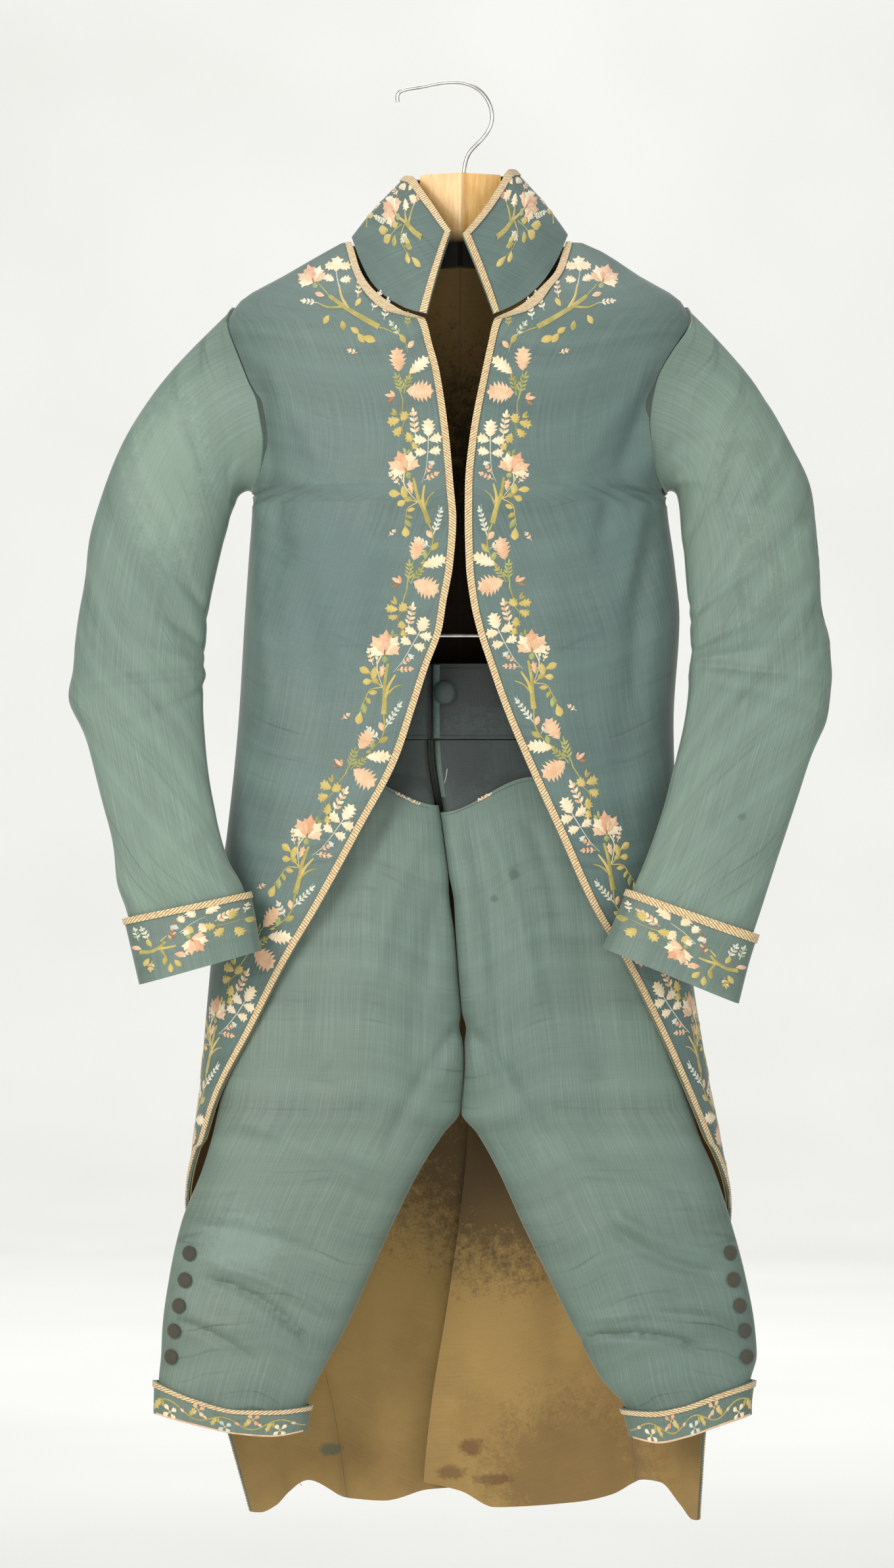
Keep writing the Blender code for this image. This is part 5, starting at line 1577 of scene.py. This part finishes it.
def makeFrontEmbroidery():
    starts = {-1: [12, 183, 356, 531, 706, 881], 1: [12, 180, 348, 524, 700, 876]}
    for side in (-1, 1):
        where = low(side)
        chart = FrontMap(side)
        border = Stitching(lambda u, v, out: chart.byEdge(u, -v, out))
        for start in starts[side]:
            vineRepeat(border, start)
        border.make(f"border_stitching_{where}")
        shoulder = Stitching(lambda u, v, out: chart.byView(side * u, v, out))
        makeShoulder(shoulder)
        shoulder.make(f"shoulder_stitching_{where}")
    print("front embroidery made")


def makeShoulder(s):
    # u is the distance from the centre front in the front view, v the height
    for row in [
        ([(66, -214), (80, -206), (94, -197), (108, -186)], 4.6, "olive", 0.7, 0.7),
        ([(92, -198), (98, -186), (100, -176)], 2.8, "gold", 0.6),
        ([(96, -196), (110, -196), (118, -192)], 2.4, "olive", 0.5),
        ([(66, -214), (58, -217), (48, -222)], 1.2, "olive", 0.5),
        ([(108, -186), (116, -176), (122, -168)], 1.2, "green", 0.5),
    ]:
        s.stem(*row)
    s.rose(124, -166, 19, 70)
    for u, v, turn, length, width, thread in [
        (103, -164, 95, 15, 12, "cream"), (102, -160, 20, 11, 9, "cream"),
        (101, -160, 165, 11, 9, "cream"), (104, -172, 30, 10, 8, "cream"),
        (100, -172, 170, 10, 8, "cream"), (80, -222, 200, 12, 6.5, "gold"),
        (84, -219, 235, 10, 5.5, "gold"), (90, -214, 215, 9, 5, "gold"),
        (97, -208, 260, 9, 5, "olive"), (108, -203, 300, 9, 5, "gold"),
        (112, -186, 20, 9, 4.5, "blush"), (86, -196, 120, 9, 4.5, "gold"),
    ]:
        teeth = 3 if thread == "cream" else 0
        s.leaf(u, v, length, width, turn, thread, 0.75, teeth, 0, 0.55)
    s.stem([(100, -178), (102, -168), (103, -158)], 1.0, "pale", 0.4)
    for row in [
        (62, -208, 100, 20, (4.8, 2.0), ("pale", "cream"), 4),
        (72, -200, 112, 20, (4.6, 2.0), ("pale", "cream"), 4),
        (48, -222, 55, 16, (4.4, 2.0), ("pale", "green"), 3),
        (118, -192, 10, 14, (4.2, 2.0), ("cream", "pale"), 3),
        (84, -188, 95, 18, (4.4, 2.0), ("cream", "blush"), 3),
        (84, -236, 20, 9, (3.2, 1.7), ("blush", "cream"), 2),
        (42, -214, 90, 12, (4.0, 2.0), ("olive", "green"), 3),
    ]:
        sprig(s, *row)
    s.stem([(48, -222), (44, -228), (42, -236)], 1.2, "green", 0.5)
    s.leaf(42, -232, 8, 4.6, 130, "blush", 0.7)
    s.leaf(44, -228, 9, 4.8, 60, "olive", 0.7)


def makeCuffEmbroidery():
    for side in (-1, 1):
        where = low(side)
        for part, behind in (("front", 0), ("back", 1)):
            def surface(u, v, out):
                turn = np.degrees(np.arccos(np.clip(1 - 2 * u / 100, -0.999, 0.999)))
                turn = 360 - turn if behind else turn
                return sleevePoint(side, turn, 11 - v / 64, sleeve["cuffOut"] + out, False)

            s = Stitching(surface)
            for row in [
                ([(6, -36), (14, -38), (22, -36), (28, -32)], 3.4, "olive", 0.7, 0.7),
                ([(21, -37), (30, -38), (36, -38)], 2.6, "gold", 0.6, 0.6),
                ([(22, -36), (25, -44), (26, -50)], 2.2, "olive", 0.6),
                ([(24, -31), (30, -27)], 1.6, "gold", 0.5),
            ]:
                s.stem(*row)
            for u, v, turn, length, width, thread in [
                (28, -52, 265, 9, 4.6, "gold"), (32, -50, 300, 9, 4.6, "gold"),
                (33, -45, 340, 10, 5.4, "blush"), (26, -44, 250, 9, 4.4, "olive"),
                (12, -43, 230, 8, 4.6, "gold"), (8, -34, 150, 8, 4, "blush"),
                (16, -34, 110, 8, 4, "gold"), (52, -30, 130, 9, 6.4, "gold"),
                (46, -19, 110, 9, 8, "cream"), (56, -16, 120, 11, 9.5, "cream"),
                (64, -15, 35, 15, 11, "cream"), (50, -24, 230, 9, 8, "cream"),
                (58, -22, 290, 11, 9.5, "cream"), (41, -23, 150, 8, 5.5, "pale"),
                (71, -29, 170, 10, 9, "gold"), (82, -26, 60, 10.5, 9, "gold"),
                (77, -32, 215, 10.5, 9, "gold"), (85, -34, 300, 11, 9.5, "gold"),
                (93, -28, 330, 8, 6, "olive"),
            ]:
                teeth = 3 if width > 7 else 0
                s.leaf(u, v, length, width, turn, thread, 0.75, teeth, 0, 0.55)
            s.rose(52, -41, 17, 300)
            s.stem([(41, -27), (52, -21), (64, -17)], 0.9, "pale", 0.4)
            s.stem([(66, -28), (78, -29), (92, -28)], 1.0, "olive", 0.4)
            for row in [
                (70, -24, 20, 20, (6.4, 2.8), ("blush", "cream"), 4),
                (32, -34, 70, 19, (4.6, 2.0), ("brown", "blush"), 4),
                (15, -28, 105, 15, (4.4, 2.0), ("pale", "cream"), 3),
                (7, -26, 95, 13, (4.0, 1.8), ("pale", "green"), 3),
                (36, -49, 15, 14, (3.6, 1.8), ("cream", "blush"), 3),
                (14, -46, 250, 9, (4, 2), ("gold", "blush"), 2),
                (94, -22, 70, 11, (3.6, 1.8), ("cream", "pale"), 2),
            ]:
                sprig(s, *row)
            s.make(f"cuff_stitching_{part}_{where}")
    print("cuff embroidery made")


def makeCollarEmbroidery():
    for side in (-1, 1):
        where = low(side)

        def surface(u, v, out):
            at = u / 16
            return collarPoint(at if side < 0 else 16 - at, 0.04 + 0.96 * v / 92, out)

        s = Stitching(surface)
        for row in [
            ([(27, 63), (36, 61.5), (45, 62)], 4.8, "olive", 0.8, 0.8),
            ([(44, 62), (52, 59.5), (59, 58)], 2.6, "gold", 0.7),
            ([(44, 62), (49, 66), (53, 71)], 2.4, "olive", 0.7),
            ([(42, 62), (44.5, 70), (46, 77)], 2.2, "olive", 0.6),
            ([(45, 60), (43, 50), (36, 44), (29, 43)], 1.2, "olive", 0.5),
            ([(47, 58), (50, 50), (51, 44)], 1.2, "green", 0.5),
        ]:
            s.stem(*row)
        s.rose(64, 57, 19, 350)
        for u, v, turn, length, width, thread in [
            (58, 80, 80, 12, 9.5, "cream"), (55, 78, 160, 10, 8.5, "cream"),
            (62, 78, 20, 11, 9, "cream"), (57, 74, 215, 9, 8, "cream"),
            (63, 84, 60, 10, 8.5, "cream"), (53, 54, 350, 8, 5.4, "blush"),
            (51, 44, 285, 11, 6, "gold"), (48, 47, 250, 9, 4.8, "olive"),
            (55, 44, 310, 12, 6.6, "gold"), (29, 43, 190, 11, 6, "gold"),
            (34, 43.5, 235, 9, 5, "gold"), (38, 46, 150, 8, 4.6, "olive"),
            (42, 50, 170, 8, 4.4, "gold"), (50, 56, 300, 8, 4.4, "gold"),
        ]:
            s.leaf(u, v, length, width, turn, thread, 0.75, 3 if width > 7 else 0, 0, 0.6)
        for row in [
            (50, 76, 115, 14, (4.2, 2.0), ("blush", "rose"), 4),
            (60, 46, 330, 14, (4.2, 2.0), ("pale", "cream"), 4),
            (66, 70, 20, 14, (4.2, 2.0), ("blush", "cream"), 3),
            (40, 56, 275, 9, (3.6, 1.8), ("pale", "cream"), 3),
        ]:
            sprig(s, *row)
        for start in (78, 106):
            line = [(start - 6, 24), (start + 6, 36), (start + 16, 30), (start + 26, 22)]
            s.stem(line, 1.6, "olive", 0.5, 0.8)
            s.rose(start + 6, 50, 15, 100)
            for u, v, turn in ((8, 36, 60), (14, 30, 290), (0, 30, 110), (20, 27, 50)):
                s.leaf(start + u, v, 10, 6, turn, "gold", 0.7, 0, 0, 0.6)
            for u, v, turn in ((14, 58, 30), (-2, 60, 150), (18, 44, 340)):
                s.leaf(start + u, v, 10, 8.5, turn, "cream", 0.75, 3, 0, 0.6)
            sprig(s, start + 20, 62, 80, 14, (4.2, 2.0), ("pale", "cream"), 3)
        s.make(f"collar_stitching_{where}")
    print("collar embroidery made")


def makeKneeEmbroidery():
    # a waving vine with small flowers all round each knee band
    for side in (-1, 1):
        where = low(side)
        for part, behind in (("front", 0), ("back", 1)):
            def surface(u, v, out):
                turn = np.degrees(np.arccos(np.clip(1 - 2 * u / 125, -0.9995, 0.9995)))
                turn = 360 - turn if behind else turn
                return legPoint(side, turn, bandHeight(side, turn, -v / 24), breeches["bandOut"] + out, False)

            s = Stitching(surface)
            wave = lambda u: -13.6 + 4.6 * math.sin(math.tau * u / 46)
            s.stem([(u, wave(u)) for u in np.arange(3, 124, 4.0)], 1.3, "olive", 0.45, 0.9)
            s.stem([(u, -23.2) for u in np.arange(2, 124, 6.0)], 1.5, "blush", 0.5, 1.0)
            looks = ["cream", "blush", "pale", "rose", "cream"]
            for k, u in enumerate(np.arange(11.5, 122, 23)):
                below = k % 2 == 0
                s.flower(u + 1, -18.4 if below else -8.8, 13, 4, looks[k % 5], "gold", 40)
                lean = 245 if below else 65
                s.leaf(u - 6, wave(u - 6), 10.5, 4.6, lean, "gold", 0.7, 2, 14, 0.45)
                s.leaf(u - 5, wave(u - 5), 6, 2.6, lean + 30, "olive", 0.6)
                s.leaf(u + 9, wave(u + 9), 5, 2.6, lean + 80, "blush", 0.6)
            s.make(f"knee_stitching_{part}_{where}")
    print("knee embroidery made")


# Sewing and wear: seams, the fly with its slit of painted shade, frayed edges and a loose thread.
wear = dict(seamGap=3.0, frayCount=13, slitShadeWidth=2.8)


def legView(side, base):
    # the breeches in the front view: u across from the centre, v the height
    def surface(u, v, out):
        outer, inner = legEdges(side, v)
        share = np.clip((u - outer) / (inner - outer), 0.0008, 0.9992)
        return legPoint(side, np.degrees(np.arccos(1 - 2 * share)), v, base + out, base == 0)
    return surface


def fallEdge(side, x):
    outer, inner = legEdges(side, -600)
    turn = np.degrees(np.arccos(np.clip(1 - 2 * (x - outer) / (inner - outer), -0.9999, 0.9999)))
    return float(fallTop(side, turn))


def makeBreechesSewing():
    for side in (-1, 1):
        where = low(side)
        band = Stitching(legView(side, 0.02))
        for height in (-497.5, -554.5):
            band.stem([(side * x - 23, height) for x in (3, 40, 80, 120)], 0.8, "dark", 0.25, 0.9)
        if side < 0:
            # the fly's slit: a dark stem of painted shade
            band.stem([(-24.6, -495), (-24.8, -525), (-24.6, -556.6)], wear["slitShadeWidth"], "dark", 0.35, 1.0)
        else:
            band.stem([(-18.0, -495), (-18.2, -525), (-18.0, -556.6)], 5.2, "teal", 0.9, 1.0)
        band.make(f"waistband_stitching_{where}")
        yoke = Stitching(legView(side, -3.0))
        if side < 0:
            # the fly's slit on the yoke: a dark stem of painted shade
            yoke.stem([(-26, -559), (-24, -585), (-21.5, -606)], wear["slitShadeWidth"], "dark", 0.4, 1.0)
        else:
            yoke.stem([(-18.4, -559), (-16.6, -585), (-14, -606)], 5.0, "teal", 0.9, 1.0)
            yoke.stem([(-9.5, -582), (-10.4, -588), (-12.2, -594)], 0.8, "pale", 1.2, 0.7)
        yoke.make(f"yoke_stitching_{where}")
        falls = Stitching(legView(side, 0.0))
        edge = np.linspace(-140, -24, 14) if side < 0 else np.linspace(-12, 138, 16)
        falls.stem([(x, fallEdge(side, x) - wear["seamGap"]) for x in edge], 0.7, "teal", 0.25, 1.0)
        start, end = (-52, -33) if side < 0 else (17, 27)
        for k in range(wear["frayCount"]):
            x = start + (end - start) * k / (wear["frayCount"] - 1)
            z = fallEdge(side, x) - 1.4
            lean = 2.2 * math.sin(k * 2.3)
            falls.stem([(x, z), (x + lean * 0.6, z + 0.4), (x + lean, z + 0.9)], 1.5, "cream", 0.6, 0.4)
            falls.stem([(x, z - 1.2), (x - lean * 0.5, z - 0.5), (x - lean, z)], 1.1, "blush", 0.5, 0.4)
        falls.make(f"falls_stitching_{where}")
    print("breeches sewing made")


def seamShadeTape(name, one, other):
    # a narrow tape within a seam, between two rows of points; its dark silk is painted shade that fills the
    # seam's gap
    grid = np.stack([one, other], 1)
    index = np.arange(2 * len(one)).reshape(-1, 2)
    faces = gridFaces(index)
    points = grid.reshape(-1, 3) * mm
    tape = makeObject(name, points, faces, points[:, [0, 2]], [buttonSilk])
    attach(tape, "root")


def makeSleeveSewing():
    # the two long seams of each sleeve and a tape of painted shade in each armhole's gap
    for side in (-1, 1):
        where = low(side)
        s = Stitching(lambda u, v, out: sleevePoint(side, u, -v, out))
        for turn in (168, 354):
            line = np.linspace(0.6, 10.6, 50)
            rows = np.array([[turn - 0.35, turn + 0.35]] * 50)
            out = np.full((50, 2), 0.22)
            s.add(rows, -np.stack([line, line], 1), out, rows, np.stack([line, line], 1) * 57, "teal")
        s.make(f"sleeve_seams_{where}")
        # a dark tape in the armhole: painted shade in the gap between sleeve and body
        ring = sleevePoint(side, np.linspace(0, 360, 97), 0.05, -1.2, False)
        seamShadeTape(f"armhole_shade_tape_{where}", ring, ring - np.array([side * 7.0, 0, 0]))
    print("sleeve sewing made")


def makeBackSewing():
    # stitches beside the centre back seam
    for side in (-1, 1):
        where = low(side)
        s = Stitching(lambda u, v, out: coatPoint(side, u, v, out))
        line = np.linspace(-178, -640, 90)
        rows = np.array([[88.7, 89.0]] * 90)
        heights = np.stack([line, line], 1)
        s.add(rows, heights, np.full((90, 2), 0.2), rows, heights, "teal")
        s.make(f"back_seam_{where}")
    # a dark tape inside the centre back seam: painted shade in the gap between the backs
    z = np.array(evenHeights([-137, -560], 6))
    seamShadeTape("back_seam_shade_tape", *[coatPoint(k, angleAt(k, np.full(z.shape, centreX + k * 1.2), z), z, -1.0)
                                 for k in (-1, 1)])
    print("back sewing made")


def floorLook():
    material, t, shader, uv, place = newMaterial("backdrop")
    cloud = t.noise(place, 1.3, 2.0)
    colour = t.mixColour(t.ramp(cloud, 0.3, 0.7), rgb(226, 226, 222), rgb(232, 232, 229))
    t.link(colour, shader.inputs["Base Color"])
    bumped(t, shader, t.noise(place, 260.0, 3.0), 0.0004, 0.15)
    shader.inputs["Roughness"].default_value = 0.9
    return material


# Studio, in metres: the floor, the bend behind it, the wall's top and the world's light.
studio = dict(floor=-1.62, near=-10.0, far=6.5, bend=3.0, top=9.0, half=14.0,
              worldColour=(0.93, 0.93, 0.94, 1), worldStrength=0.44, aim=(0, 0, -0.6))


def makeStudio():
    # a sweep: floor, a round bend and a wall behind
    floor, far, bend = studio["floor"], studio["far"], studio["bend"]
    profile = [(studio["near"], floor), (far, floor)]
    profile += [(far + bend * math.sin(a), floor + bend - bend * math.cos(a))
                for a in np.linspace(0.06, math.pi / 2, 24)]
    profile += [(far + bend, studio["top"])]
    rows = np.array([[(x, y, z) for x in (-studio["half"], studio["half"])] for y, z in profile])
    index = np.arange(rows.shape[0] * 2).reshape(-1, 2)
    faces = gridFaces(index)
    sweep = makeObject("backdrop", rows.reshape(-1, 3), faces, rows.reshape(-1, 3)[:, :2], [floorLook()])
    lights = table("name place size power colour aim", [
        ("key light", (-1.7, -2.7, 0.5), 1.6, 90, (1.0, 0.985, 0.96)),
        ("fill light", (2.2, -2.4, -0.1), 2.2, 27, (0.96, 0.98, 1.0)),
        ("low light", (0.2, -2.8, -1.3), 1.4, 24, (1.0, 1.0, 1.0)),
        ("wall light", (0.0, 3.6, 3.4), 4.0, 270, (1.0, 1.0, 1.0), (0, 9.0, -0.6)),
        ("top light", (0.0, 0.3, 1.8), 1.5, 24, (1.0, 1.0, 1.0)),
    ])
    for row in lights:
        data = bpy.data.lights.new(row["name"], "AREA")
        data.size, data.energy, data.color = row["size"], row["power"], row["colour"]
        light = bpy.data.objects.new(row["name"], data)
        bpy.context.scene.collection.objects.link(light)
        light.location = row["place"]
        aim = np.array(row.get("aim", studio["aim"])) - np.array(row["place"])
        light.rotation_euler = Vector(aim).to_track_quat("-Z", "Y").to_euler()
    world = bpy.data.worlds.new("studio")
    bpy.context.scene.world = world
    world.use_nodes = True
    background = world.node_tree.nodes["Background"]
    background.inputs["Color"].default_value = studio["worldColour"]
    background.inputs["Strength"].default_value = studio["worldStrength"]


# Camera: level with the middle of the suit, in metres, with a long lens in millimetres.
view = dict(lens=109.8, place=(-0.00935, -4.060, -0.5951))


def makeCamera():
    data = bpy.data.cameras.new("camera")
    data.lens, data.sensor_width, data.sensor_fit = view["lens"], 36, "AUTO"
    camera = bpy.data.objects.new("camera", data)
    bpy.context.scene.collection.objects.link(camera)
    camera.location = view["place"]
    camera.rotation_euler = (math.pi / 2, 0, 0)
    bpy.context.scene.camera = camera
    bpy.context.scene.view_settings.view_transform = "Standard"


makeCoatBody()
makeSleeves()
makeCollar()
makeBreeches()
makeFrontEmbroidery()
makeCuffEmbroidery()
makeCollarEmbroidery()
makeKneeEmbroidery()
makeBreechesSewing()
makeSleeveSewing()
makeBackSewing()
makeButtons()
makeHanger()
makeStudio()
makeCamera()

print("scene ready")
